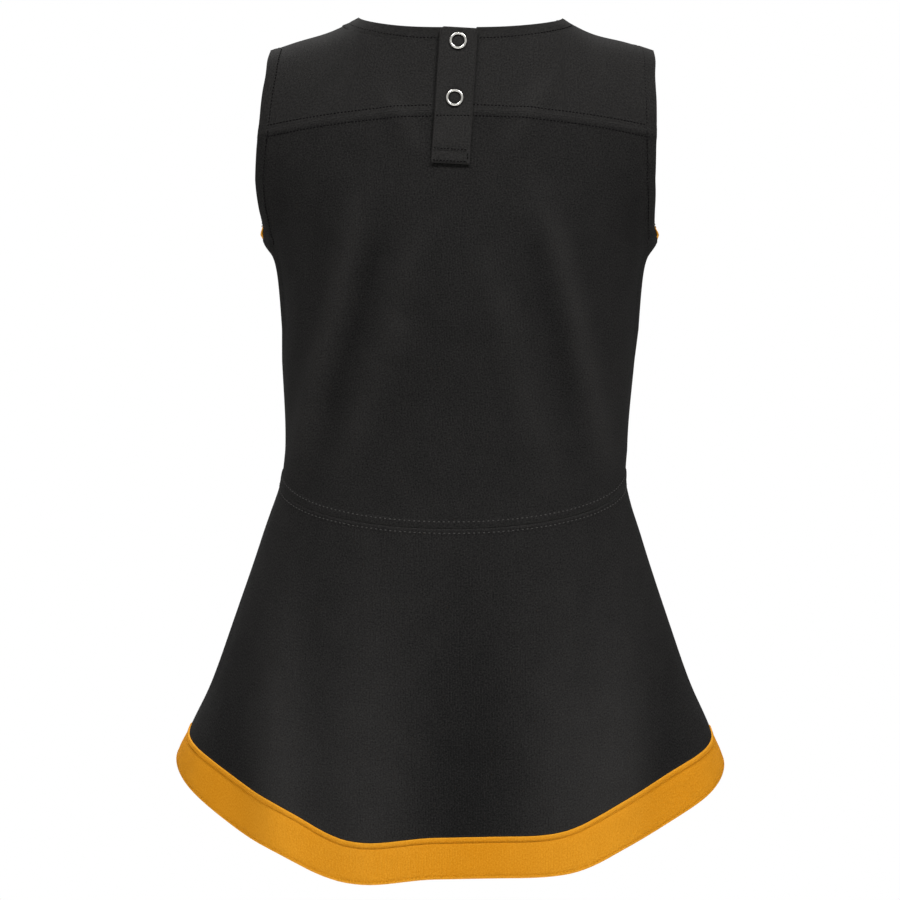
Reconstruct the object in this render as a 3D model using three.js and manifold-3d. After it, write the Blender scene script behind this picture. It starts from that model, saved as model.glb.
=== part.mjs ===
// A toddler's sleeveless cheer dress, worn shape, in millimetres, +Z up.
// The front faces -Y, the back with its snap placket faces +Y, the wearer's left is +X.
// The origin is midway between the two high points of the shoulders, where a hanger or a body
// carries the dress.
import * as THREE from "three";
import { mergeVertices } from "three/addons/utils/BufferGeometryUtils.js";
import Module from "manifold-3d";

const wasm = await Module();
wasm.setup();

// ---------------------------------------------------------------- driving dimensions

// cloth
const FABRIC = 1.0; // one layer of double knit
const SEAM_GAP = 0.3; // between two panels that are sewn edge to edge
const HEM_FOLD = 2.0; // the hem band is the knit folded double

// shoulders and neck
const NECK_HALF_WIDTH = 56.4; // centre to high point of the shoulder
const SHOULDER_SLOPE = 0.407; // drop per mm outwards
const SHOULDER_ROUND = 70; // depth over which the shoulder rolls over into the back
const NECK_ROOT_ROUND = 20; // softens the ridge that the two shoulder slopes would make at the centre
const BACK_NECK_DROP = 6.7;
const BACK_NECK_SQUARENESS = 3;
const FRONT_NECK_DROP = 52;
const FRONT_NECK_SQUARENESS = 2.2;
const SHOULDER_TIP_X = 105.5;
const ARMHOLE_HALF_WIDTH = 110.8; // widest place of the armhole edges

// half widths and depths of the worn shape
const UNDERARM_HALF_WIDTH = 107;
const CHEST_HALF_WIDTH = 101; // just below the underarm
const WAIST_HALF_WIDTH = 95;
const HEM_HALF_WIDTH = 151.5;
const BACK_NECK_DEPTH = 45.3;
const CHEST_BACK_DEPTH = 74;
const WAIST_BACK_DEPTH = 66.5;
const HEM_BACK_DEPTH = 106;
const FRONT_NECK_DEPTH = 44;
const CHEST_FRONT_DEPTH = 73;
const WAIST_FRONT_DEPTH = 77.5;
const HEM_FRONT_DEPTH = 115;
const STRAIGHT_BACK = 84; // the upper back is straight for this far down, so that the placket lies flat

// seams, as heights
const YOKE_SEAM_CENTRE = -52.8;
const YOKE_SEAM_SIDE_DROP = 11.5;
const UNDERARM = -125;
const WAIST_SIDE = -256;
const WAIST_CENTRE_DROP = 28.5;
const CHEVRON_TOP_SIDE = -92;
const CHEVRON_TOP_CENTRE = -140;
const CHEVRON_BOTTOM_SIDE = -128;
const CHEVRON_BOTTOM_CENTRE = -172;

// hem: highest at the side seams, lowest and flat across the centres
const HEM_SIDE = -413;
const HEM_CENTRE_DROP = 68;
const HEM_FLAT_FROM = 25; // degrees round from the centre where the flat stretch ends
const HEM_BAND = 22.8; // width of the contrast band across its own length
const HEM_SLOPE = 0.49; // rise per mm of cloth between the flat stretch and the side seam

// neck facing
const FACING_WIDTH = 9;
const FACING_THICK = 0.8;
const FACING_AIR = 1.2; // between the yoke and the strip, which keeps flat facets apart on the shoulder
const FACING_FROM_PLACKET = 13; // it ends in the seams of the placket, this far from the centre
const FACING_LAP = 0.05; // its front and back stretches run into each other over the shoulder

// placket
const PLACKET_TOP_X = -1.2;
const PLACKET_TOP_Z = -5.8;
const PLACKET_LEAN = THREE.MathUtils.degToRad(3.4);
const BACK_SLOPE = 0.26; // how far the upper back moves out per mm down
const STRIP_PLY = 0.9;
const STRIP_POCKET = 0.7;
const STRIP_LIFT = 0.3; // air between the flap and what lies under it
const FLAP_ROOT = -10.3;
const FLAP_FREE_TOP = 10.6;
const FLAP_FREE_BOTTOM = 11.0;
const FLAP_LENGTH = 70.7;
const FLAP_CORNER = 3;
const FLAP_BEVEL = 3.0; // cut off the seamed edge so that the flap can fold right back
const SEAM_LEG = 1.0; // allowance of the flap that stands in the slit against the yoke
const FOOT_LENGTH = 7.6;
const SLIT_RIGHT = FLAP_ROOT - SEAM_GAP;
const SLIT_PAST_FLAP = 2.3; // the slit ends this far under the sewn foot
const SLIT_LENGTH = FLAP_LENGTH + SLIT_PAST_FLAP;
const UNDERLAP_FREE = FLAP_ROOT + SEAM_LEG;
const UNDERLAP_LEG_TOP = -0.2;
const INTERFACING = 0.3;
const POCKET_MARGIN = 1.4; // cloth between the pocket of a strip and its edges
const POCKET_AIR = 0.2;

// ring snaps
const SNAP_FIRST = 8.2; // down from the top of the flap
const SNAP_PITCH = 32.8;
const RING_OUTER = 5.0;
const RING_INNER = 3.45;
const RING_HEIGHT = 1.0;
const PRONGS = 5;
const PRONG_RADIUS = 0.35;
const PRONG_CIRCLE = RING_INNER + PRONG_RADIUS + 0.1;
const PRONG_CLEARANCE = 0.2;
const PRONG_BITE = 0.5; // how far a prong reaches into the socket or the stud
const METAL_AIR = 0.15; // between pressed metal and the cloth it bears on
const SOCKET_HEIGHT = 1.3;
const STUD_RADIUS = 1.75;
const STUD_CLEARANCE = 0.35;
const SOCKET_BORE = STUD_RADIUS + STUD_CLEARANCE;
const STUD_FLANGE = 0.7;
const STUD_RISE = 1.15;
const SNAP_AIR = 0.9; // between the snaps and the seam of the underlap

// the left side of the slit, set off by the snaps
const UNDERLAP_ROOT = RING_OUTER + SNAP_AIR + SEAM_LEG;
const SLIT_LEFT = UNDERLAP_ROOT + SEAM_GAP;

// fineness of the meshes
const COLUMNS = 24;
const ROUND_STEPS = 18;

// ---------------------------------------------------------------- profiles of the worn shape

// A curve through stations of height, value and slope, by cubic pieces.
function profile(stations) {
  return (z) => {
    let i = 0;
    while (i < stations.length - 2 && z < stations[i + 1][0]) i += 1;
    const [zA, a, slopeA] = stations[i];
    const [zB, b, slopeB] = stations[i + 1];
    const span = zB - zA;
    const t = THREE.MathUtils.clamp((z - zA) / span, 0, 1);
    const over = z - (zA + span * t);
    const t2 = t * t;
    const t3 = t2 * t;
    const inside =
      a * (2 * t3 - 3 * t2 + 1) +
      slopeA * span * (t3 - 2 * t2 + t) +
      b * (3 * t2 - 2 * t3) +
      slopeB * span * (t3 - t2);
    return inside + over * (t > 0.5 ? slopeB : slopeA);
  };
}

// Heights by their share of the way down the armhole, the trunk and the skirt, and widths by their
// share of the flare.
const armhole = (share) => share * UNDERARM;
const trunk = (share) => UNDERARM + share * (WAIST_SIDE - UNDERARM);
const skirt = (share) => WAIST_SIDE + share * (HEM_SIDE - WAIST_SIDE);
const flare = (share) => WAIST_HALF_WIDTH + share * (HEM_HALF_WIDTH - WAIST_HALF_WIDTH);
const LOWEST = HEM_SIDE - HEM_CENTRE_DROP - 4;

// Half width of the elliptical section. Above the underarm the section runs on past the armhole edge.
const sectionHalfWidth = profile([
  [0, UNDERARM_HALF_WIDTH + 163, 3],
  [armhole(0.16), UNDERARM_HALF_WIDTH + 108, 2.6],
  [armhole(0.575), UNDERARM_HALF_WIDTH + 27, 0.7],
  [UNDERARM, UNDERARM_HALF_WIDTH, 0.45],
  [trunk(0.19), CHEST_HALF_WIDTH, 0.1],
  [trunk(0.5), (CHEST_HALF_WIDTH + WAIST_HALF_WIDTH) / 2, 0.07],
  [trunk(0.88), WAIST_HALF_WIDTH, 0],
  [skirt(0.04), flare(0.03), -0.26],
  [skirt(0.217), flare(0.186), -0.31],
  [skirt(0.535), flare(0.478), -0.34],
  [skirt(0.758), flare(0.7), -0.42],
  [HEM_SIDE, HEM_HALF_WIDTH, -0.36],
  [LOWEST, HEM_HALF_WIDTH + 15.5, -0.2],
]);

// Where the armhole cuts the section, seen from behind.
const armholeHalfWidth = profile([
  [armhole(0.16), SHOULDER_TIP_X, -0.18],
  [armhole(0.4), ARMHOLE_HALF_WIDTH - 1, -0.05],
  [armhole(0.76), ARMHOLE_HALF_WIDTH, 0.03],
  [UNDERARM, UNDERARM_HALF_WIDTH, 0.15],
]);

const backDepth = profile([
  [0, BACK_NECK_DEPTH, -BACK_SLOPE],
  [-STRAIGHT_BACK, BACK_NECK_DEPTH + STRAIGHT_BACK * BACK_SLOPE, -BACK_SLOPE],
  [trunk(0.115), CHEST_BACK_DEPTH, 0],
  [trunk(0.82), WAIST_BACK_DEPTH, 0.02],
  [skirt(0.1), WAIST_BACK_DEPTH + 0.5, -0.08],
  [skirt(0.47), WAIST_BACK_DEPTH + 0.23 * (HEM_BACK_DEPTH - WAIST_BACK_DEPTH), -0.17],
  [LOWEST, HEM_BACK_DEPTH, -0.2],
]);

const frontDepth = profile([
  [0, FRONT_NECK_DEPTH, -0.34],
  [armhole(0.48), FRONT_NECK_DEPTH + 0.62 * (CHEST_FRONT_DEPTH - FRONT_NECK_DEPTH), -0.24],
  [UNDERARM, CHEST_FRONT_DEPTH, -0.08],
  [trunk(0.69), WAIST_FRONT_DEPTH - 0.5, 0],
  [skirt(0.18), WAIST_FRONT_DEPTH + 1.5, -0.09],
  [skirt(0.535), WAIST_FRONT_DEPTH + 0.25 * (HEM_FRONT_DEPTH - WAIST_FRONT_DEPTH), -0.17],
  [LOWEST, HEM_FRONT_DEPTH, -0.2],
]);

// Height of the shoulder line at a distance from the centre.
function shoulderLine(x) {
  const rounded = Math.hypot(x, NECK_ROOT_ROUND);
  return SHOULDER_SLOPE * (Math.hypot(NECK_HALF_WIDTH, NECK_ROOT_ROUND) - rounded);
}

// Quarter-round roll of the cloth below the shoulder line, from 0 on the line to 1.
function shoulderRoll(below) {
  const t = THREE.MathUtils.clamp(below / SHOULDER_ROUND, 0, 1);
  return Math.sqrt(1 - (1 - t) * (1 - t));
}

// Depth of the outer face at x and z, over the whole section.
function depthAt(depth, x, z) {
  const ratio = Math.min(Math.abs(x) / sectionHalfWidth(z), 1);
  const roll = shoulderRoll(shoulderLine(x) - z) / shoulderRoll(shoulderLine(0) - z);
  return depth(z) * Math.sqrt(1 - ratio * ratio) * roll;
}

// A point of the outer face. u runs from -1 at the wearer's right edge to 1 at the left edge.
function wornPoint(face, u, z) {
  const half = sectionHalfWidth(z);
  const edge = z > UNDERARM ? Math.min(armholeHalfWidth(Math.min(z, armhole(0.16))), half) : half;
  const x = half * Math.sin(u * Math.asin(edge / half));
  return new THREE.Vector3(x, face.side * (face.gap + depthAt(face.depth, x, z)), z);
}

const BACK = { side: 1, depth: backDepth, gap: SEAM_GAP / 2 };
const FRONT = { side: -1, depth: frontDepth, gap: SEAM_GAP / 2 };

// The height where column u meets a seam whose height is given over x.
function seamHeight(seam, u) {
  let z = seam(0);
  for (let i = 0; i < 12; i += 1) z = seam(Math.abs(wornPoint(BACK, u, z).x));
  return z;
}

// ---------------------------------------------------------------- seams and edges, as heights over x or u

function neckline(drop, squareness) {
  return (x) => -drop * Math.pow(1 - Math.pow(Math.min(x / NECK_HALF_WIDTH, 1), squareness), 1 / 1.5);
}

const backNeck = neckline(BACK_NECK_DROP, BACK_NECK_SQUARENESS);
const frontNeck = neckline(FRONT_NECK_DROP, FRONT_NECK_SQUARENESS);

// Upper edge of a yoke: the neckline, then the shoulder seam.
const yokeTop = (neck) => (x) => (x < NECK_HALF_WIDTH ? neck(x) : shoulderLine(x));
const yokeSeam = (x) => YOKE_SEAM_CENTRE - YOKE_SEAM_SIDE_DROP * (x / SHOULDER_TIP_X) ** 2;

function chevronLine(side, centre) {
  return (x) => centre + (side - centre) * Math.min(x / SHOULDER_TIP_X, 1.03);
}

const chevronTop = chevronLine(CHEVRON_TOP_SIDE, CHEVRON_TOP_CENTRE);
const chevronBottom = chevronLine(CHEVRON_BOTTOM_SIDE, CHEVRON_BOTTOM_CENTRE);
const waistSeam = (u) => WAIST_SIDE - WAIST_CENTRE_DROP * Math.cos((u * Math.PI) / 2);

// The hem rises in a straight cut from the flat stretch to the side seam, with a soft turn between them.
function hemLine(u) {
  const share = ((1 - Math.abs(u)) * 90) / (90 - HEM_FLAT_FROM);
  const risen = share ** 1.15;
  const turn = 0.15;
  const soft = risen - 0.5 * (risen - 1 + Math.hypot(risen - 1, turn));
  return HEM_SIDE - HEM_CENTRE_DROP * soft;
}

function hemBandTop(u) {
  const slanted = THREE.MathUtils.smoothstep(Math.abs(u), 0.15, 0.35);
  return hemLine(u) + HEM_BAND * Math.hypot(1, HEM_SLOPE * slanted);
}

// ---------------------------------------------------------------- solids

// Closed slab between two grids of points of the same size, the first one outside.
function slab(outer, inner) {
  const rows = outer.length;
  const columns = outer[0].length;
  const positions = [];
  for (const grid of [outer, inner])
    for (const row of grid)
      for (const p of row) positions.push(p.x, p.y, p.z);
  const at = (layer, i, j) => (layer * rows + i) * columns + j;
  const index = [];
  const quad = (a, b, c, d) => index.push(a, b, c, a, c, d);
  for (let i = 0; i < rows - 1; i += 1)
    for (let j = 0; j < columns - 1; j += 1) {
      quad(at(0, i, j), at(0, i + 1, j), at(0, i + 1, j + 1), at(0, i, j + 1));
      quad(at(1, i, j), at(1, i, j + 1), at(1, i + 1, j + 1), at(1, i + 1, j));
    }
  for (let i = 0; i < rows - 1; i += 1) {
    quad(at(0, i, 0), at(1, i, 0), at(1, i + 1, 0), at(0, i + 1, 0));
    const last = columns - 1;
    quad(at(0, i, last), at(0, i + 1, last), at(1, i + 1, last), at(1, i, last));
  }
  for (let j = 0; j < columns - 1; j += 1) {
    quad(at(0, 0, j), at(0, 0, j + 1), at(1, 0, j + 1), at(1, 0, j));
    const last = rows - 1;
    quad(at(0, last, j), at(1, last, j), at(1, last, j + 1), at(0, last, j + 1));
  }
  const geometry = new THREE.BufferGeometry();
  geometry.setAttribute("position", new THREE.Float32BufferAttribute(positions, 3));
  geometry.setIndex(index);
  return geometry;
}

// Slab of cloth whose outer face is point(u, v), from depth `from` to depth `to` under that face.
function clothSlab(point, us, vs, from, to) {
  const step = 1e-3;
  const sample = (u, v) => {
    const uA = Math.max(u - step, us[0]);
    const uB = Math.min(u + step, us[us.length - 1]);
    const vA = Math.max(v - step, vs[0]);
    const vB = Math.min(v + step, vs[vs.length - 1]);
    const across = point(uB, v).sub(point(uA, v));
    const down = point(u, vB).sub(point(u, vA));
    const normal = down.cross(across).normalize();
    return [point(u, v), normal];
  };
  const layer = (depth) =>
    vs.map((v) =>
      us.map((u) => {
        const [p, n] = sample(u, v);
        return p.addScaledVector(n, -depth);
      }),
    );
  return slab(layer(from), layer(to));
}

function evenly(count, from = 0, to = 1) {
  return Array.from({ length: count + 1 }, (_, i) => from + ((to - from) * i) / count);
}

// Panel between two edges given as heights over u. On the back face the columns run the other way round.
function panel(face, { top, bottom, rows, columns = COLUMNS, thick = FABRIC, us, ease = (t) => t }) {
  const across = us ?? evenly(columns, -1, 1);
  const point = (u, v) => {
    const zTop = top(u);
    return wornPoint(face, face.side * -u, zTop + (bottom(u) - zTop) * ease(v));
  };
  return clothSlab(point, across, evenly(rows), 0, thick);
}

// Both halves of the columns of a yoke: close together round the neck and even along the shoulder.
function yokeColumns(neckSteps, shoulderSteps) {
  const neckEdge = Math.asin(NECK_HALF_WIDTH / sectionHalfWidth(0));
  const tip = Math.asin(SHOULDER_TIP_X / sectionHalfWidth(0));
  const neckShare = neckEdge / tip;
  const half = [
    ...evenly(neckSteps).map((t) => neckShare * Math.sin((t * Math.PI) / 2)),
    ...evenly(shoulderSteps, neckShare, 1).slice(1),
  ];
  return [...half.slice(1).reverse().map((u) => -u), ...half];
}

const overX = (seam, shift = 0) => (u) => seamHeight(seam, u) + shift;
const overU = (seam, shift = 0) => (u) => seam(u) + shift;
const roundTop = (t) => t ** 2.1; // short steps where the shoulder rolls over

function solidOf(geometry) {
  const bare = geometry.index ? geometry.toNonIndexed() : geometry.clone();
  for (const name of Object.keys(bare.attributes)) if (name !== "position") bare.deleteAttribute(name);
  const merged = mergeVertices(bare, 1e-4);
  return new wasm.Manifold(
    new wasm.Mesh({
      numProp: 3,
      vertProperties: merged.attributes.position.array,
      triVerts: new Uint32Array(merged.index.array),
    }),
  );
}

function geometryOf(solid) {
  const mesh = solid.getMesh();
  const geometry = new THREE.BufferGeometry();
  geometry.setAttribute("position", new THREE.BufferAttribute(mesh.vertProperties.slice(), 3));
  geometry.setIndex(new THREE.BufferAttribute(mesh.triVerts.slice(), 1));
  return geometry;
}

// ---------------------------------------------------------------- placket frame and its shapes

// Local axes of the placket: x across towards the wearer's left, y out of the back, z up the strip.
const placket = new THREE.Group();
placket.position.set(PLACKET_TOP_X, SEAM_GAP / 2 + backDepth(PLACKET_TOP_Z), PLACKET_TOP_Z);
placket.rotation.set(Math.atan(BACK_SLOPE), -PLACKET_LEAN, 0);
placket.updateMatrixWorld(true);

// Box between two corners.
function box(x0, x1, y0, y1, z0, z1) {
  const geometry = new THREE.BoxGeometry(x1 - x0, y1 - y0, z1 - z0);
  return geometry.translate((x0 + x1) / 2, (y0 + y1) / 2, (z0 + z1) / 2);
}

// Plate of an outline drawn over x and z, from y0 to y1.
function plate(outline, y0, y1) {
  const settings = { depth: y1 - y0, bevelEnabled: false, curveSegments: 4 };
  const geometry = new THREE.ExtrudeGeometry(outline, settings);
  return geometry.rotateX(Math.PI / 2).translate(0, y1, 0);
}

// Bar of a section drawn over x and y, from z0 to z1.
function bar(points, z0, z1) {
  const shape = new THREE.Shape(points.map(([x, y]) => new THREE.Vector2(x, y)));
  return new THREE.ExtrudeGeometry(shape, { depth: z1 - z0, bevelEnabled: false }).translate(0, 0, z0);
}

// Turned part about the y axis of the placket, from a profile of radius and height.
function turnedPart(points) {
  return new THREE.LatheGeometry(
    points.map(([r, y]) => new THREE.Vector2(r, y)),
    ROUND_STEPS,
  );
}

function pin(radius, y0, y1) {
  return new THREE.CylinderGeometry(radius, radius, y1 - y0, 6).translate(0, (y0 + y1) / 2, 0);
}

// The same shape at each prong of a ring, joined to or cut from a solid.
function atProngs(solid, shape, operation, z = 0) {
  let result = solid;
  for (let i = 0; i < PRONGS; i += 1) {
    const turn = (i * 2 * Math.PI) / PRONGS + Math.PI / 2;
    const x = PRONG_CIRCLE * Math.cos(turn);
    const copy = shape.clone().translate(x, 0, z + PRONG_CIRCLE * Math.sin(turn));
    result = result[operation](solidOf(copy));
  }
  return result;
}

const SNAPS = [
  { name: "upper", z: -SNAP_FIRST },
  { name: "lower", z: -SNAP_FIRST - SNAP_PITCH },
];

// Cuts the prong holes of both snaps through a strip.
function pierced(solid, y0, y1) {
  const hole = pin(PRONG_RADIUS + PRONG_CLEARANCE, y0, y1);
  return SNAPS.reduce((result, snap) => atProngs(result, hole, "subtract", snap.z), solid);
}

const STRIP = 2 * STRIP_PLY + STRIP_POCKET;
const FLAP_INNER = STRIP_LIFT;
const FLAP_OUTER = STRIP_LIFT + STRIP;
const SOCKET_TOP = FLAP_INNER - METAL_AIR;
const FLANGE_TOP = SOCKET_TOP - SOCKET_HEIGHT - METAL_AIR;
const UNDERLAP_OUTER = FLANGE_TOP - STUD_FLANGE - METAL_AIR;
const UNDERLAP_INNER = UNDERLAP_OUTER - STRIP;

const flapEdge = (down) =>
  FLAP_FREE_TOP + ((FLAP_FREE_BOTTOM - FLAP_FREE_TOP) * down) / (FLAP_LENGTH + FOOT_LENGTH);

// Flap: folded along its free edge, rounded at its top corner, bevelled at its seam, hollow for the
// interfacing.
function overlapSolid() {
  const outline = new THREE.Shape();
  outline.moveTo(FLAP_ROOT, -FLAP_LENGTH);
  outline.lineTo(flapEdge(FLAP_LENGTH), -FLAP_LENGTH);
  outline.lineTo(flapEdge(FLAP_CORNER), -FLAP_CORNER);
  outline.quadraticCurveTo(FLAP_FREE_TOP, 0, FLAP_FREE_TOP - FLAP_CORNER, 0);
  outline.lineTo(FLAP_ROOT, 0);
  outline.closePath();
  const legTop = FLAP_INNER + STRIP_PLY / 2;
  const leg = box(FLAP_ROOT, FLAP_ROOT + SEAM_LEG, -FABRIC, legTop, -FLAP_LENGTH, -SEAM_LEG);
  const bevel = bar(
    [
      [FLAP_ROOT - 1, FLAP_INNER + STRIP_PLY / 3],
      [FLAP_ROOT, FLAP_INNER + STRIP_PLY / 3],
      [FLAP_ROOT + FLAP_BEVEL, FLAP_OUTER + 0.5],
      [FLAP_ROOT - 1, FLAP_OUTER + 0.5],
    ],
    -FLAP_LENGTH - 1,
    1,
  );
  const pocket = box(
    FLAP_ROOT + FLAP_BEVEL,
    FLAP_FREE_TOP - POCKET_MARGIN,
    FLAP_INNER + STRIP_PLY,
    FLAP_OUTER - STRIP_PLY,
    -FLAP_LENGTH - 1,
    -POCKET_MARGIN,
  );
  const solid = solidOf(plate(outline, FLAP_INNER, FLAP_OUTER))
    .add(solidOf(leg))
    .subtract(solidOf(bevel))
    .subtract(solidOf(pocket));
  return pierced(solid, FLAP_INNER - 1, FLAP_OUTER + 1);
}

function underlapSolid() {
  const upright = (x0, y1) => box(x0, UNDERLAP_ROOT, UNDERLAP_INNER, y1, -FLAP_LENGTH, -SEAM_LEG);
  const strip = upright(UNDERLAP_FREE, UNDERLAP_OUTER);
  const leg = upright(UNDERLAP_ROOT - SEAM_LEG, UNDERLAP_LEG_TOP);
  const pocket = box(
    UNDERLAP_FREE + POCKET_MARGIN,
    UNDERLAP_ROOT - POCKET_MARGIN,
    UNDERLAP_INNER + STRIP_PLY,
    UNDERLAP_OUTER - STRIP_PLY,
    -FLAP_LENGTH - 1,
    -SEAM_LEG - POCKET_MARGIN,
  );
  const solid = solidOf(strip).add(solidOf(leg)).subtract(solidOf(pocket));
  return pierced(solid, UNDERLAP_INNER - 1, UNDERLAP_OUTER + 1);
}

function interfacingSolid(x0, x1, pocketFloor, top) {
  const y0 = pocketFloor + POCKET_AIR;
  const y1 = y0 + INTERFACING;
  const sheet = box(x0 + POCKET_AIR, x1 - POCKET_AIR, y0, y1, -FLAP_LENGTH, top - POCKET_AIR);
  return pierced(solidOf(sheet), y0 - 1, y0 + 1);
}

// Snap pieces, drawn about their own axis; facing is 1 for the ring on the outside and -1 for the
// one inside.
function ringSolid(bearing, facing, prongEnd) {
  const rim = RING_HEIGHT / 2;
  const y = (h) => bearing + facing * h;
  const outline = [
    [RING_INNER, y(0)],
    [RING_INNER, y(rim)],
    [RING_INNER + 0.4, y(RING_HEIGHT)],
    [RING_OUTER - 0.4, y(RING_HEIGHT)],
    [RING_OUTER, y(rim)],
    [RING_OUTER, y(0)],
    [RING_INNER, y(0)],
  ];
  if (facing > 0) outline.reverse();
  const ring = solidOf(turnedPart(outline));
  const ends = [prongEnd, y(rim)].sort((a, b) => a - b);
  return atProngs(ring, pin(PRONG_RADIUS, ...ends), "add");
}

function socketSolid() {
  const bottom = SOCKET_TOP - SOCKET_HEIGHT;
  const body = turnedPart([
    [SOCKET_BORE, bottom],
    [RING_OUTER - 0.4, bottom],
    [RING_OUTER, bottom + 0.4],
    [RING_OUTER, SOCKET_TOP],
    [SOCKET_BORE, SOCKET_TOP],
    [SOCKET_BORE, bottom],
  ]);
  const pitFloor = SOCKET_TOP - PRONG_BITE - PRONG_CLEARANCE;
  const pit = pin(PRONG_RADIUS + PRONG_CLEARANCE, pitFloor, SOCKET_TOP + 1);
  return atProngs(solidOf(body), pit, "subtract");
}

function studSolid() {
  const bottom = FLANGE_TOP - STUD_FLANGE;
  const top = FLANGE_TOP + STUD_RISE;
  const body = turnedPart([
    [0, bottom],
    [RING_OUTER, bottom],
    [RING_OUTER, FLANGE_TOP - 0.2],
    [RING_OUTER - 0.2, FLANGE_TOP],
    [STUD_RADIUS - 0.25, FLANGE_TOP],
    [STUD_RADIUS, top - 0.5],
    [STUD_RADIUS - 0.4, top],
    [0, top],
  ]);
  const pit = pin(PRONG_RADIUS + PRONG_CLEARANCE, bottom - 1, bottom + PRONG_BITE);
  return atProngs(solidOf(body), pit, "subtract");
}

// ---------------------------------------------------------------- finishes and nodes

const finish = (color, roughness, metalness = 0) => () =>
  new THREE.MeshStandardMaterial({ color, roughness, metalness, side: THREE.DoubleSide });
const blackKnit = finish(0x2b2a2c, 0.9);
const goldKnit = finish(0xd9921f, 0.85);
const interlining = finish(0xe6e3dc, 0.95);
const nickel = finish(0xc9cbcd, 0.3, 1);

const dress = new THREE.Group();
dress.add(placket);

function node(name, geometry, material, parent = dress) {
  const mesh = new THREE.Mesh(geometry, material());
  mesh.name = name;
  parent.add(mesh);
  return mesh;
}

// A box of the placket's frame, moved into the frame of the dress, for cutting panels.
const placketCutter = (geometry) => solidOf(geometry.applyMatrix4(placket.matrixWorld));

const half = SEAM_GAP / 2;
const FAR = 200;

// back panels
const backYoke = solidOf(
  panel(BACK, {
    us: yokeColumns(6, 6),
    top: overX(yokeTop(backNeck)),
    bottom: overX(yokeSeam, half),
    rows: 8,
    ease: roundTop,
  }),
);
const leftOfSlit = placketCutter(box(-FAR, SLIT_LEFT, -FAR, FAR, -FAR, FAR));
const rightOfSlit = placketCutter(box(SLIT_RIGHT, FAR, -FAR, FAR, -FAR, FAR));
node("back_yoke_left", geometryOf(backYoke.subtract(leftOfSlit)), blackKnit);
node("back_yoke_right", geometryOf(backYoke.subtract(rightOfSlit)), blackKnit);

const backBodice = solidOf(
  panel(BACK, { top: overX(yokeSeam, -half), bottom: overU(waistSeam, half), rows: 12 }),
);
const slit = placketCutter(box(SLIT_RIGHT, SLIT_LEFT, -FAR / 4, FAR, -SLIT_LENGTH, FAR));
node("back_bodice", geometryOf(backBodice.subtract(slit)), blackKnit);

// panels that the front and the back share
for (const [name, face] of [
  ["back", BACK],
  ["front", FRONT],
]) {
  const skirt = { top: overU(waistSeam, -half), bottom: overU(hemBandTop, half), rows: 8 };
  const band = { top: overU(hemBandTop, -half), bottom: overU(hemLine), rows: 2, thick: HEM_FOLD };
  node(name + "_skirt", panel(face, skirt), blackKnit);
  node(name + "_hem_band", panel(face, band), goldKnit);
}

// front panels
node(
  "front_yoke",
  panel(FRONT, {
    us: yokeColumns(7, 6),
    top: overX(yokeTop(frontNeck)),
    bottom: overX(chevronTop, half),
    rows: 9,
    ease: roundTop,
  }),
  blackKnit,
);
node(
  "front_chevron_band",
  panel(FRONT, {
    us: yokeColumns(7, 6),
    top: overX(chevronTop, -half),
    bottom: overX(chevronBottom, half),
    rows: 3,
  }),
  goldKnit,
);
node(
  "front_bodice",
  panel(FRONT, { top: overX(chevronBottom, -half), bottom: overU(waistSeam, half), rows: 8 }),
  blackKnit,
);

// Neck facing: one strip, from one side of the placket round the front to the other side.
// It follows the neckline and leans from straight down at the centre to along the shoulder seam.
function facingPart(face, neck, xFrom) {
  const shoulderAngle = Math.atan(SHOULDER_SLOPE);
  const start = Math.asin(xFrom / NECK_HALF_WIDTH);
  const point = (u, v) => {
    const xNeck = NECK_HALF_WIDTH * Math.sin(start + (Math.PI / 2 - start) * Math.abs(u));
    const share = xNeck / NECK_HALF_WIDTH;
    const angle = Math.PI / 2 + (shoulderAngle - Math.PI / 2) * share ** 3;
    const x = xNeck + v * Math.cos(angle);
    const fall = Math.max(Math.sin(angle) - SHOULDER_SLOPE * Math.cos(angle), 0);
    const z = shoulderLine(x) - (shoulderLine(xNeck) - neck(xNeck) + v * fall);
    const side = u < 0 ? face.side : -face.side;
    return new THREE.Vector3(side * x, face.side * (depthAt(face.depth, x, z) - FACING_LAP), z);
  };
  return (us) => {
    const inset = FABRIC + FACING_AIR;
    return solidOf(clothSlab(point, us, evenly(3, 0, FACING_WIDTH), inset, inset + FACING_THICK));
  };
}

const frontFacing = facingPart(FRONT, frontNeck, 0)(evenly(20, -1, 1));
const backFacing = facingPart(BACK, backNeck, FACING_FROM_PLACKET);
const facing = frontFacing.add(backFacing(evenly(8, 0.001, 1))).add(backFacing(evenly(8, -1, -0.001)));
node("neck_facing", geometryOf(facing), blackKnit);

// placket strips and their sewn feet
const footTop = -FLAP_LENGTH - SEAM_GAP;
const footEnd = footTop - FOOT_LENGTH;
node("placket_overlap", geometryOf(overlapSolid()), blackKnit, placket);
node(
  "placket_overlap_foot",
  box(FLAP_ROOT, FLAP_FREE_BOTTOM, FLAP_INNER, FLAP_OUTER - STRIP_POCKET, footEnd, footTop),
  blackKnit,
  placket,
);
node("placket_underlap", geometryOf(underlapSolid()), blackKnit, placket);
node(
  "placket_underlap_foot",
  box(UNDERLAP_FREE, UNDERLAP_ROOT, UNDERLAP_INNER + STRIP_POCKET, UNDERLAP_OUTER, footEnd, footTop),
  blackKnit,
  placket,
);
node(
  "overlap_interfacing",
  geometryOf(
    interfacingSolid(
      FLAP_ROOT + FLAP_BEVEL,
      FLAP_FREE_TOP - POCKET_MARGIN,
      FLAP_INNER + STRIP_PLY,
      -POCKET_MARGIN,
    ),
  ),
  interlining,
  placket,
);
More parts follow.
